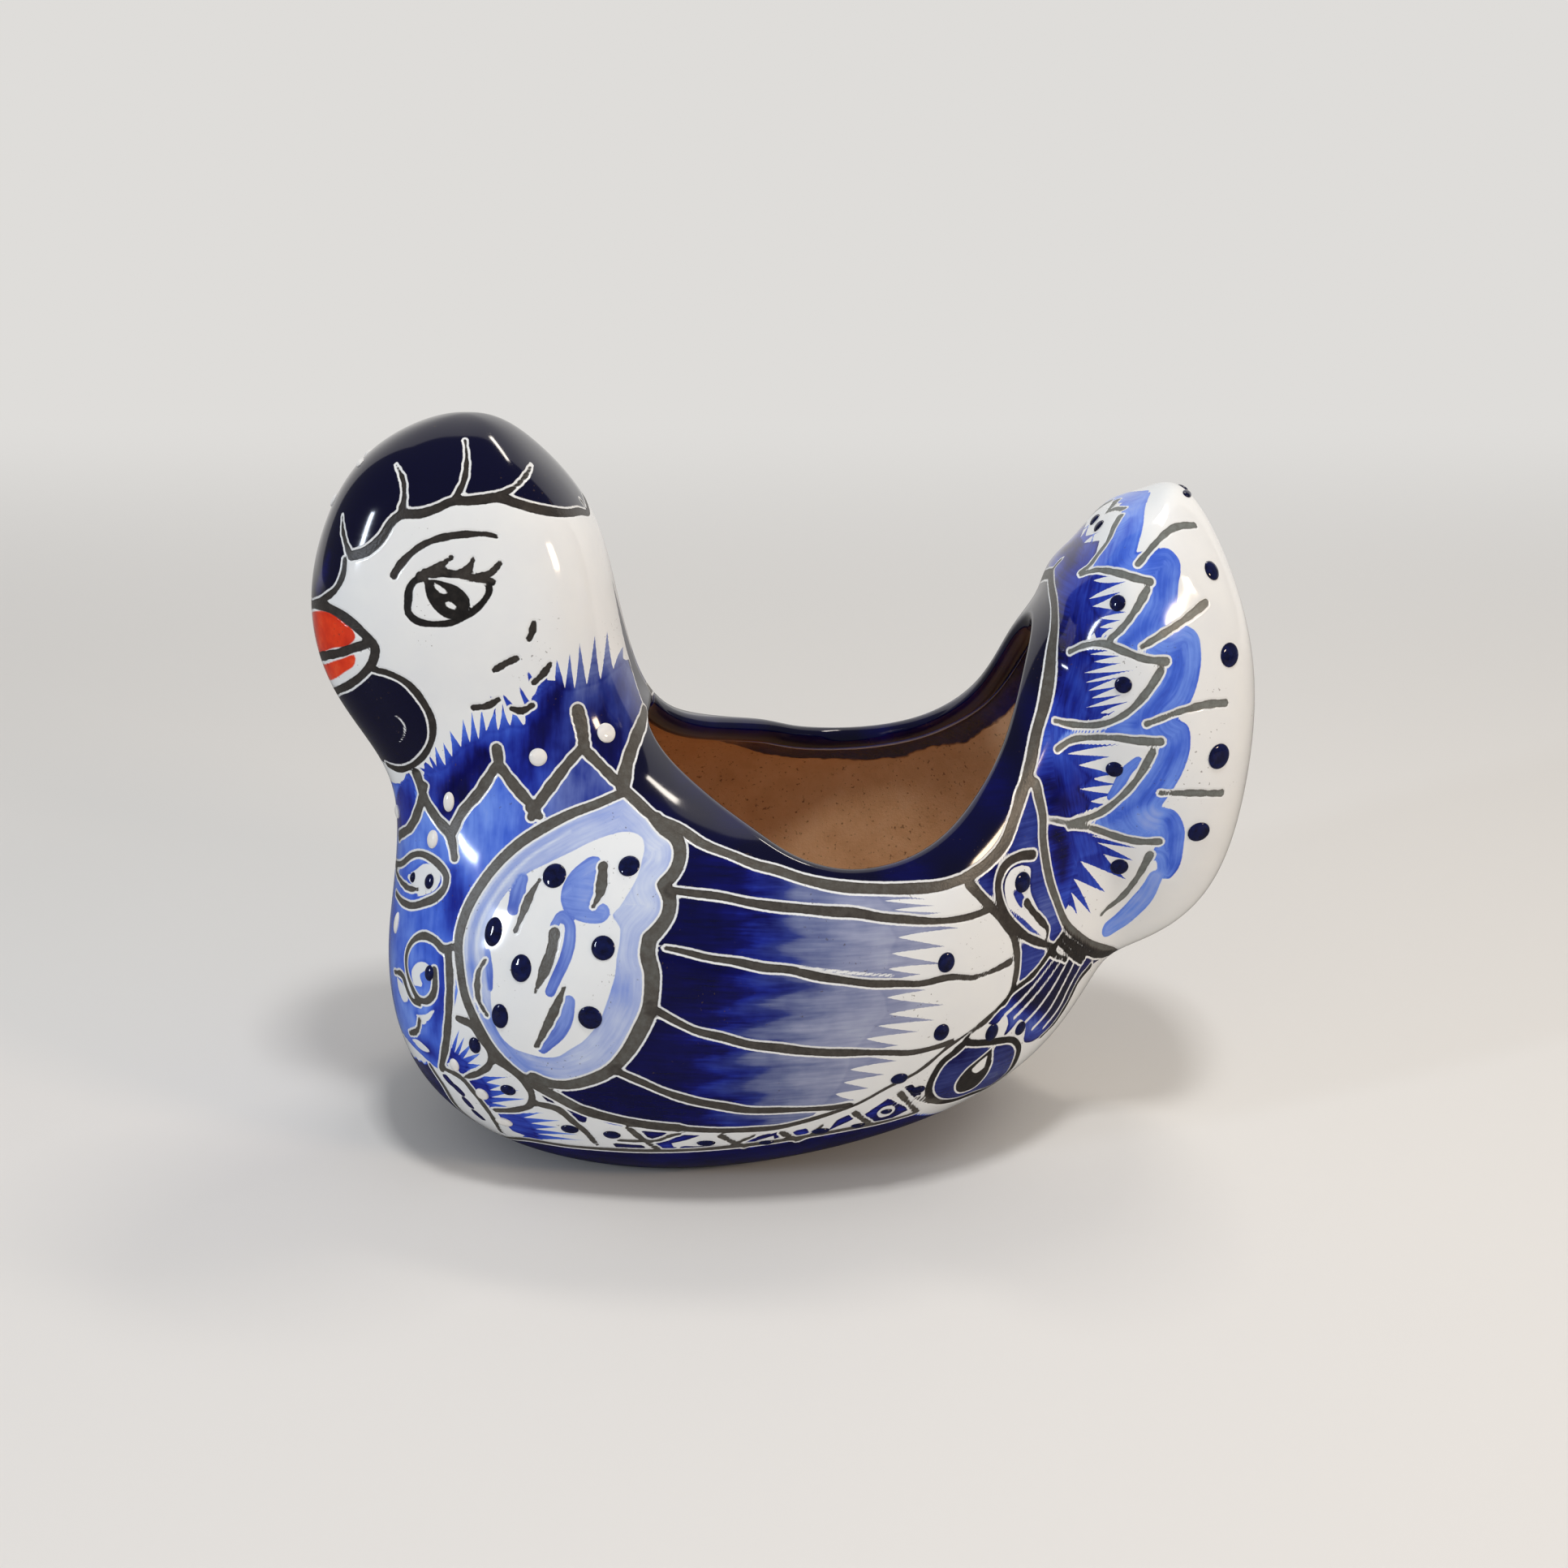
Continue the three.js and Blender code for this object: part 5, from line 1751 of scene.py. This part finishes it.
class Shading:
    """Short ways to add the nodes that the finishes share."""

    def __init__(self, name: str) -> None:
        """Starts a material.

        Args:
            name: The material's name.
        """
        self.material = bpy.data.materials.new(name)
        self.material.use_nodes = True
        self.tree = self.material.node_tree
        self.tree.nodes.clear()
        self.place = add(self.tree, "ShaderNodeTexCoord").outputs["Object"]

    def calc(self, operation: str, *values: object, clamp: bool = False) -> bpy.types.NodeSocket:
        """The result of a maths node."""
        inputs = dict(enumerate(values))
        return add(self.tree, "ShaderNodeMath", inputs, operation=operation, use_clamp=clamp).outputs[0]

    def step(self, value: object, low: float, high: float) -> bpy.types.NodeSocket:
        """Rises smoothly from 0 at low to 1 at high."""
        inputs = {"Value": value, "From Min": low, "From Max": high}
        return add(self.tree, "ShaderNodeMapRange", inputs, interpolation_type="SMOOTHSTEP").outputs[0]

    def mix(self, factor: object, under: object, over: object) -> bpy.types.NodeSocket:
        """One colour over another."""
        inputs = {0: factor, 6: under, 7: over}
        return add(self.tree, "ShaderNodeMix", inputs, data_type="RGBA").outputs[2]

    def blend(self, factor: object, under: object, over: object) -> bpy.types.NodeSocket:
        """One number over another."""
        return add(self.tree, "ShaderNodeMix", {0: factor, 2: under, 3: over}, data_type="FLOAT").outputs[0]

    def ramp(self, value: object, stops: tuple) -> bpy.types.NodeSocket:
        """A colour ramp from (place, hex colour) stops."""
        node = add(self.tree, "ShaderNodeValToRGB", {0: value})
        elements = node.color_ramp.elements
        while len(elements) < len(stops):
            elements.new(0.5)
        for element, (place, colour) in zip(elements, stops):
            element.position = place
            element.color = linear(colour)
        return node.outputs[0]

    def noise(self, size_mm: float, detail: float = 2, roughness: float = 0.5) -> bpy.types.NodeSocket:
        """Noise whose features are about that large."""
        scale = (1 / (size_mm * MM),) * 3
        spread = add(self.tree, "ShaderNodeMapping", {"Vector": self.place, "Scale": scale}).outputs[0]
        inputs = {"Vector": spread, "Scale": 1.0, "Detail": detail, "Roughness": roughness}
        return add(self.tree, "ShaderNodeTexNoise", inputs).outputs["Fac"]

    def swing(self, noise: object, width: float) -> bpy.types.NodeSocket:
        """Noise turned into a swing to both sides of zero."""
        return self.calc("MULTIPLY", self.calc("SUBTRACT", noise, 0.5), width)

    def layer(self, name: str) -> bpy.types.NodeSocket:
        """A painted layer of the mesh."""
        return add(self.tree, "ShaderNodeAttribute", attribute_name=name).outputs["Fac"]

    def bump(self, height: object, depth_mm: float, under: object = None) -> bpy.types.NodeSocket:
        """A normal that follows a height, in millimetres."""
        inputs = {"Height": height, "Distance": depth_mm * MM, "Strength": 1.0}
        if under is not None:
            inputs["Normal"] = under
        return add(self.tree, "ShaderNodeBump", inputs).outputs[0]

    def finish(self, **inputs: object) -> bpy.types.Material:
        """Ends the material with its shader."""
        named = {key.replace("_", " "): value for key, value in inputs.items()}
        shader = add(self.tree, "ShaderNodeBsdfPrincipled", named)
        add(self.tree, "ShaderNodeOutputMaterial", {"Surface": shader.outputs[0]})
        return self.material


@dataclass(frozen=True)
class PaintedGlaze:
    """Tin glaze with cobalt brushwork, dry outlines and vermilion: wet gloss over hand painting."""

    name: str = "painted_tin_glaze"
    cobalt: tuple = (
        (0.0, "#e6ecf6"), (0.16, "#c8d4f2"), (0.32, "#9fb2ea"), (0.46, "#7094ec"), (0.6, "#4468d6"),
        (0.74, "#2a44b4"), (0.84, "#16258f"), (0.92, "#080b5c"), (0.97, "#04053e"), (1.0, "#050526"),
    )
    smoky: tuple = (
        (0.0, "#e2e2e0"), (0.2, "#bcc3d2"), (0.42, "#9aa0bc"), (0.58, "#70799f"), (0.75, "#303a7c"),
        (0.9, "#090d50"), (0.97, "#04053e"), (1.0, "#050526"),
    )
    white: str = "#eff0ee"
    white_pool: str = "#e6e8ea"
    hair_mm: float = 0.8
    pull_mm: float = 9
    lick_mm: float = 6
    streakiness: float = 0.24
    cloudiness: float = 0.26
    pooling: float = 0.05
    dry_line: tuple = (
        (0.0, "#8b908e"), (0.25, "#6c6f6b"), (0.5, "#54504a"), (0.75, "#38332f"), (1.0, "#1a1716"),
    )
    vermilion: tuple = ((0.25, "#c92812"), (0.6, "#e8401b"), (0.9, "#f2653a"))
    sole: tuple[str, str] = ("#b98a63", "#9c6d48")
    speck: str = "#4a3a2c"
    speck_mm: float = 0.75
    ripple_mm: float = 16
    roughness: float = 0.07
    dry_roughness: float = 0.36
    halo_mm: float = 0.46

    def build(self) -> bpy.types.Material:
        """Makes the material."""
        s = Shading(self.name)
        load, streaks, cloud = self.load(s)
        colour = s.mix(s.layer("grey"), s.ramp(load, self.cobalt), s.ramp(load, self.smoky))
        ragged = s.swing(s.noise(0.9, 3, 0.6), 0.34)
        white = s.mix(cloud, linear(self.white), linear(self.white_pool))
        cover = s.calc("MINIMUM", s.layer("cover"), self.licks(s))
        dipped = s.step(s.calc("ADD", cover, s.calc("MULTIPLY", ragged, 0.6)), 0.1, -0.1)
        edge = s.calc("ADD", s.layer("outline"), s.calc("MULTIPLY", ragged, 0.8))
        halo = s.step(edge, self.halo_mm + 0.1, self.halo_mm - 0.1)
        colour = s.mix(s.calc("MULTIPLY", dipped, s.calc("SUBTRACT", 1.0, halo)), white, colour)
        red = s.step(s.layer("vermilion"), 0.2, -0.2)
        colour = s.mix(red, colour, s.ramp(s.noise(3.5, 3), self.vermilion))
        line = s.step(edge, 0.1, -0.1)
        dry = s.swing(s.noise(1.6, 4, 0.7), 0.5)
        rims = s.calc("MULTIPLY", s.step(edge, -0.4, -0.1), 0.12)
        ink = s.calc("ADD", s.calc("ADD", s.layer("ink"), dry), rims, clamp=True)
        colour = s.mix(line, colour, s.ramp(ink, self.dry_line))
        # White marks: glaze left bare, and painted highlights such as the glints on the eye, nape and wing.
        bare = s.step(s.calc("ADD", s.layer("scratch"), ragged), 0.12, -0.12)
        colour = s.mix(bare, colour, white)
        pits = s.step(s.noise(self.speck_mm, 1), 0.7, 0.76)
        specks = s.calc("MULTIPLY", pits, s.step(s.noise(14, 1), 0.52, 0.6))
        colour = s.mix(s.calc("MULTIPLY", specks, 0.55), colour, linear(self.speck))
        height = add(s.tree, "ShaderNodeSeparateXYZ", {0: s.place}).outputs[2]
        facing = add(s.tree, "ShaderNodeNewGeometry").outputs["True Normal"]
        down = add(s.tree, "ShaderNodeSeparateXYZ", {0: facing}).outputs[2]
        sole = s.calc("MULTIPLY", s.step(height, 0.5 * MM, 0.1 * MM), s.step(down, -0.9, -0.97))
        colour = s.mix(sole, colour, s.mix(s.noise(2, 4), *(linear(shade) for shade in self.sole)))
        normal = s.bump(s.step(edge, -0.35, 0.55), 0.16)
        normal = s.bump(s.noise(self.ripple_mm, 1), 0.22, normal)
        normal = s.bump(s.calc("MULTIPLY", line, s.noise(0.5, 3)), 0.08, normal)
        wet = s.calc("ADD", self.roughness, s.calc("MULTIPLY", streaks, 0.05))
        rough = s.blend(line, wet, self.dry_roughness)
        rough = s.blend(sole, rough, 0.8)
        return s.finish(Base_Color=colour, Roughness=rough, Normal=normal, IOR=1.52)

    def licks(self, s: Shading) -> bpy.types.NodeSocket:
        """How far, in millimetres, a place lies outside the pointed licks of the brush."""
        fraction = s.calc("FRACT", s.layer("lick"))
        flank = s.calc("ABSOLUTE", s.calc("SUBTRACT", s.calc("MULTIPLY", fraction, 2.0), 1.0))
        point = s.calc("POWER", s.calc("SUBTRACT", 1.0, flank), 1.3)
        return s.calc("MULTIPLY", s.calc("SUBTRACT", s.layer("reach"), point), self.lick_mm)

    def load(self, s: Shading) -> tuple:
        """How much cobalt lies where, with the marks of the brush, and the two noises it uses."""
        across = s.calc("MULTIPLY", s.layer("hair"), 1 / self.hair_mm)
        along = s.calc("MULTIPLY", s.layer("run"), 1 / self.pull_mm)
        brush = add(s.tree, "ShaderNodeCombineXYZ", {0: across, 1: along}).outputs[0]
        hairs = {"Vector": brush, "Scale": 1.0, "Detail": 3.0}
        streaks = add(s.tree, "ShaderNodeTexNoise", hairs).outputs["Fac"]
        cloud = s.noise(8, 3, 0.55)
        pigment = s.layer("pigment")
        thin = s.step(pigment, 1.0, 0.9)
        marks = s.swing(streaks, self.streakiness)
        pools = s.swing(cloud, self.cloudiness)
        rim = s.calc("MULTIPLY", s.step(s.layer("cover"), -1.0, -0.2), self.pooling)
        uneven = s.calc("MULTIPLY", s.calc("ADD", s.calc("ADD", marks, pools), rim), thin)
        return s.calc("ADD", pigment, uneven, clamp=True), streaks, cloud


@dataclass(frozen=True)
class BareClay:
    """Unglazed fired earthenware with the navy glaze run over its upper edge: dry and dusty."""

    name: str = "bare_earthenware"
    clay: tuple = ((0.2, "#c99b6f"), (0.5, "#dcb084"), (0.85, "#e8c199"))
    pore: str = "#8d6b4b"
    navy: tuple = ((0.2, "#070a33"), (0.7, "#0f1658"))
    overrun_mm: float = 5.2
    wander_mm: float = 4.5
    roughness: float = 0.78

    def build(self) -> bpy.types.Material:
        """Makes the material."""
        s = Shading(self.name)
        wander = s.swing(s.noise(16, 3, 0.55), 2 * self.wander_mm)
        edge = s.calc("ADD", s.calc("SUBTRACT", s.layer("rim"), self.overrun_mm), wander)
        glazed = s.step(edge, 0.35, -0.35)
        clay = s.ramp(s.noise(11, 5, 0.6), self.clay)
        clay = s.mix(s.step(s.noise(0.9, 2), 0.62, 0.75), clay, linear(self.pore))
        colour = s.mix(glazed, clay, s.ramp(s.noise(4, 2), self.navy))
        rough = s.blend(glazed, self.roughness, 0.08)
        grain = s.bump(s.noise(0.8, 4, 0.7), 0.12)
        normal = s.bump(glazed, 0.3, s.bump(s.noise(12, 2), 0.4, grain))
        return s.finish(Base_Color=colour, Roughness=rough, Normal=normal, IOR=1.5)


@dataclass(frozen=True)
class TrailedGlaze:
    """A thick drop of glaze: deep gloss, a little darker or paler where it pools."""

    name: str
    shades: tuple
    roughness: float = 0.06

    def build(self) -> bpy.types.Material:
        """Makes the material."""
        s = Shading(self.name)
        return s.finish(
            Base_Color=s.ramp(s.noise(1.6, 2), self.shades),
            Roughness=self.roughness,
            Normal=s.bump(s.noise(2.4, 1), 0.1),
            IOR=1.52,
        )


@dataclass
class Studio:
    """Pale floor, pale surroundings, soft lights and the photograph's camera."""

    camera: PhotoCamera
    middle: float
    floor_size: float = 5.0
    sweep_from: float = 1.1
    sweep_radius: float = 0.9
    floor_colour: str = "#e4e2df"
    floor_mirrored: str = "#6a6866"
    backdrop_glow: float = 0.95
    glow_between: tuple[float, float] = (0.16, 1.0)
    surroundings: str = "#eef0f2"
    light_strength: float = 0.5
    mirrored_strength: float = 0.15
    lamps: tuple = (
        ("window_left", (-1.02, -0.6, 0.42), (0.06, 0.26), 2.8, "#e4efff", True),
        ("window_back", (0.3, 0.45, 1.15), (0.4, 0.1), 2.5, "#fff6ea", True),
        ("warm_right", (0.95, -0.6, 0.48), (0.2, 0.14), 3.4, "#ffe2c2", True),
        ("skylight", (0.1, -0.35, 1.15), (0.16, 0.16), 4.8, "#ffffff", False),
    )

    def build(self) -> None:
        """Builds the studio and makes its camera the scene's."""
        self.floor()
        self.world()
        for lamp in self.lamps:
            self.lamp(*lamp)
        lens = bpy.data.cameras.new("photo_camera")
        lens.sensor_fit = "HORIZONTAL"
        lens.angle = math.radians(self.camera.view_angle_deg)
        lens.clip_start = 0.01
        eye = put("photo_camera", lens)
        eye.location = (Vector(self.camera.place) - Vector((self.middle, 0, 0))) * MM
        eye.rotation_euler = (math.radians(90 - self.camera.elevation_deg), 0, 0)
        bpy.context.scene.camera = eye
        bpy.context.scene.view_settings.view_transform = "Standard"

    def floor(self) -> None:
        """Lays the floor, which sweeps up into the backdrop."""
        half, start, radius = self.floor_size / 2, self.sweep_from, self.sweep_radius
        turns = np.linspace(0, math.pi / 2, 25)
        sweep = [(start + radius * math.sin(t), radius * (1 - math.cos(t))) for t in turns]
        profile = [(-half, 0.0), *sweep, (start + radius, self.floor_size)]
        corners = [(side * half, y, z) for y, z in profile for side in (-1, 1)]
        quads = [(2 * i, 2 * i + 1, 2 * i + 3, 2 * i + 2) for i in range(len(profile) - 1)]
        mesh = bpy.data.meshes.new("backdrop")
        mesh.from_pydata(corners, [], quads)
        mesh.shade_smooth()
        mesh.materials.append(self.paper())
        put("backdrop", mesh)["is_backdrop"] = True

    def paper(self) -> bpy.types.Material:
        """Makes the pale floor: it keeps its paleness behind the hen, and its shadow near it.

        The glaze mirrors it darker than it is, so the navy keeps its depth.
        """
        s = Shading("studio_paper")
        away = add(s.tree, "ShaderNodeSeparateXYZ", {0: s.place}).outputs["Y"]
        far = s.step(away, *self.glow_between)
        path = add(s.tree, "ShaderNodeLightPath").outputs
        mirrored = path["Is Glossy Ray"]
        bent = s.calc("MAXIMUM", mirrored, path["Is Transmission Ray"])
        seen = s.calc("MAXIMUM", path["Is Camera Ray"], bent)
        pale = linear(self.floor_colour)
        tint = s.mix(mirrored, pale, linear(self.floor_mirrored))
        matt = add(s.tree, "ShaderNodeBsdfPrincipled", {"Base Color": tint, "Roughness": 0.7})
        light = {"Color": pale, "Strength": self.backdrop_glow}
        glow = add(s.tree, "ShaderNodeEmission", light)
        share = s.calc("MULTIPLY", far, seen)
        both = add(s.tree, "ShaderNodeMixShader", {0: share, 1: matt.outputs[0], 2: glow.outputs[0]})
        add(s.tree, "ShaderNodeOutputMaterial", {"Surface": both.outputs[0]})
        return s.material

    def world(self) -> None:
        """Makes the pale surroundings."""
        world = bpy.data.worlds.new("studio")
        world.use_nodes = True
        tree = world.node_tree
        tree.nodes.clear()
        path = add(tree, "ShaderNodeLightPath").outputs
        share = {0: path["Is Glossy Ray"], 2: self.light_strength, 3: self.mirrored_strength}
        strength = add(tree, "ShaderNodeMix", share, data_type="FLOAT").outputs[0]
        sky = add(tree, "ShaderNodeBackground", {"Color": linear(self.surroundings), "Strength": strength})
        add(tree, "ShaderNodeOutputWorld", {"Surface": sky.outputs[0]})
        bpy.context.scene.world = world

    def lamp(self, name: str, place: tuple, size: tuple, power: float, colour: str, mirrored: bool) -> None:
        """Hangs one soft lamp that shines on the hen, and says whether the glaze mirrors it."""
        light = bpy.data.lights.new(name, "AREA")
        light.shape = "RECTANGLE"
        light.size, light.size_y = size
        light.energy = power
        light.color = linear(colour)[:3]
        lamp = put(name, light)
        lamp.location = place
        lamp.visible_glossy = mirrored
        toward = Vector((0, 0, self.camera.aim_height * MM)) - Vector(place)
        lamp.rotation_euler = toward.to_track_quat("-Z", "Y").to_euler()


class HenPlanter:
    """The whole planter: its form, its painting, its pieces and their finishes."""

    HANDS = ("left", "right")

    def __init__(self) -> None:
        """Works out the form and paints it."""
        self.camera = PhotoCamera()
        self.grid = ShellGrid(HenForm())
        LOG.info("skin grid: %d rows of %d", *self.grid.station.shape)
        self.canvas = Canvas(self.grid, self.camera)
        for painting in (
            CollarPainting(), HeadPainting(), ShoulderPainting(), TailPainting(), WingPainting(),
            RumpPainting(), HemPainting(), RimPainting(),
        ):
            painting.paint(self.canvas)
            LOG.info("%s is on, %d dots so far", type(painting).__name__, len(self.canvas.dots))

    def build(self, low: Vector, high: Vector) -> None:
        """Builds every piece inside the solids' box."""
        glazes = PaintedGlaze().build(), BareClay().build()
        drops = (
            TrailedGlaze("trailed_navy_glaze", ((0.3, "#060827"), (0.8, "#111a4e"))).build(),
            TrailedGlaze("trailed_white_glaze", ((0.3, "#e4e2e0"), (0.8, "#f5f1ea"))).build(),
        )
        shells = ClayShells(self.grid, self.canvas, low, high)
        dots = GlazeDots()
        group = dots.tree()
        for member in Member:
            first, last = self.grid.spans[member]
            stations = self.grid.station[first, 0], self.grid.station[last, 0]
            mine = [d for d in self.canvas.dots if stations[0] <= d[4] < stations[1]]
            for hand in self.HANDS:
                shell = shells.build(member, hand, glazes)
                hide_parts(f"{member.value}_{hand}")
                name = f"{member.value}_{hand}_dots"
                spots = dots.build(name, mine, hand == "right", self.grid.middle, group, drops)
                for piece in (shell, spots):
                    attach(piece, "root")
        bpy.data.node_groups.remove(group)


def main() -> None:
    """Builds the scene."""
    logging.basicConfig(level=logging.INFO, format="%(message)s")
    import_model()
    low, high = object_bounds()
    hen = HenPlanter()
    hen.build(low, high)
    Studio(hen.camera, hen.grid.middle).build()
    bpy.context.view_layer.update()


if __name__ == "__main__":
    main()
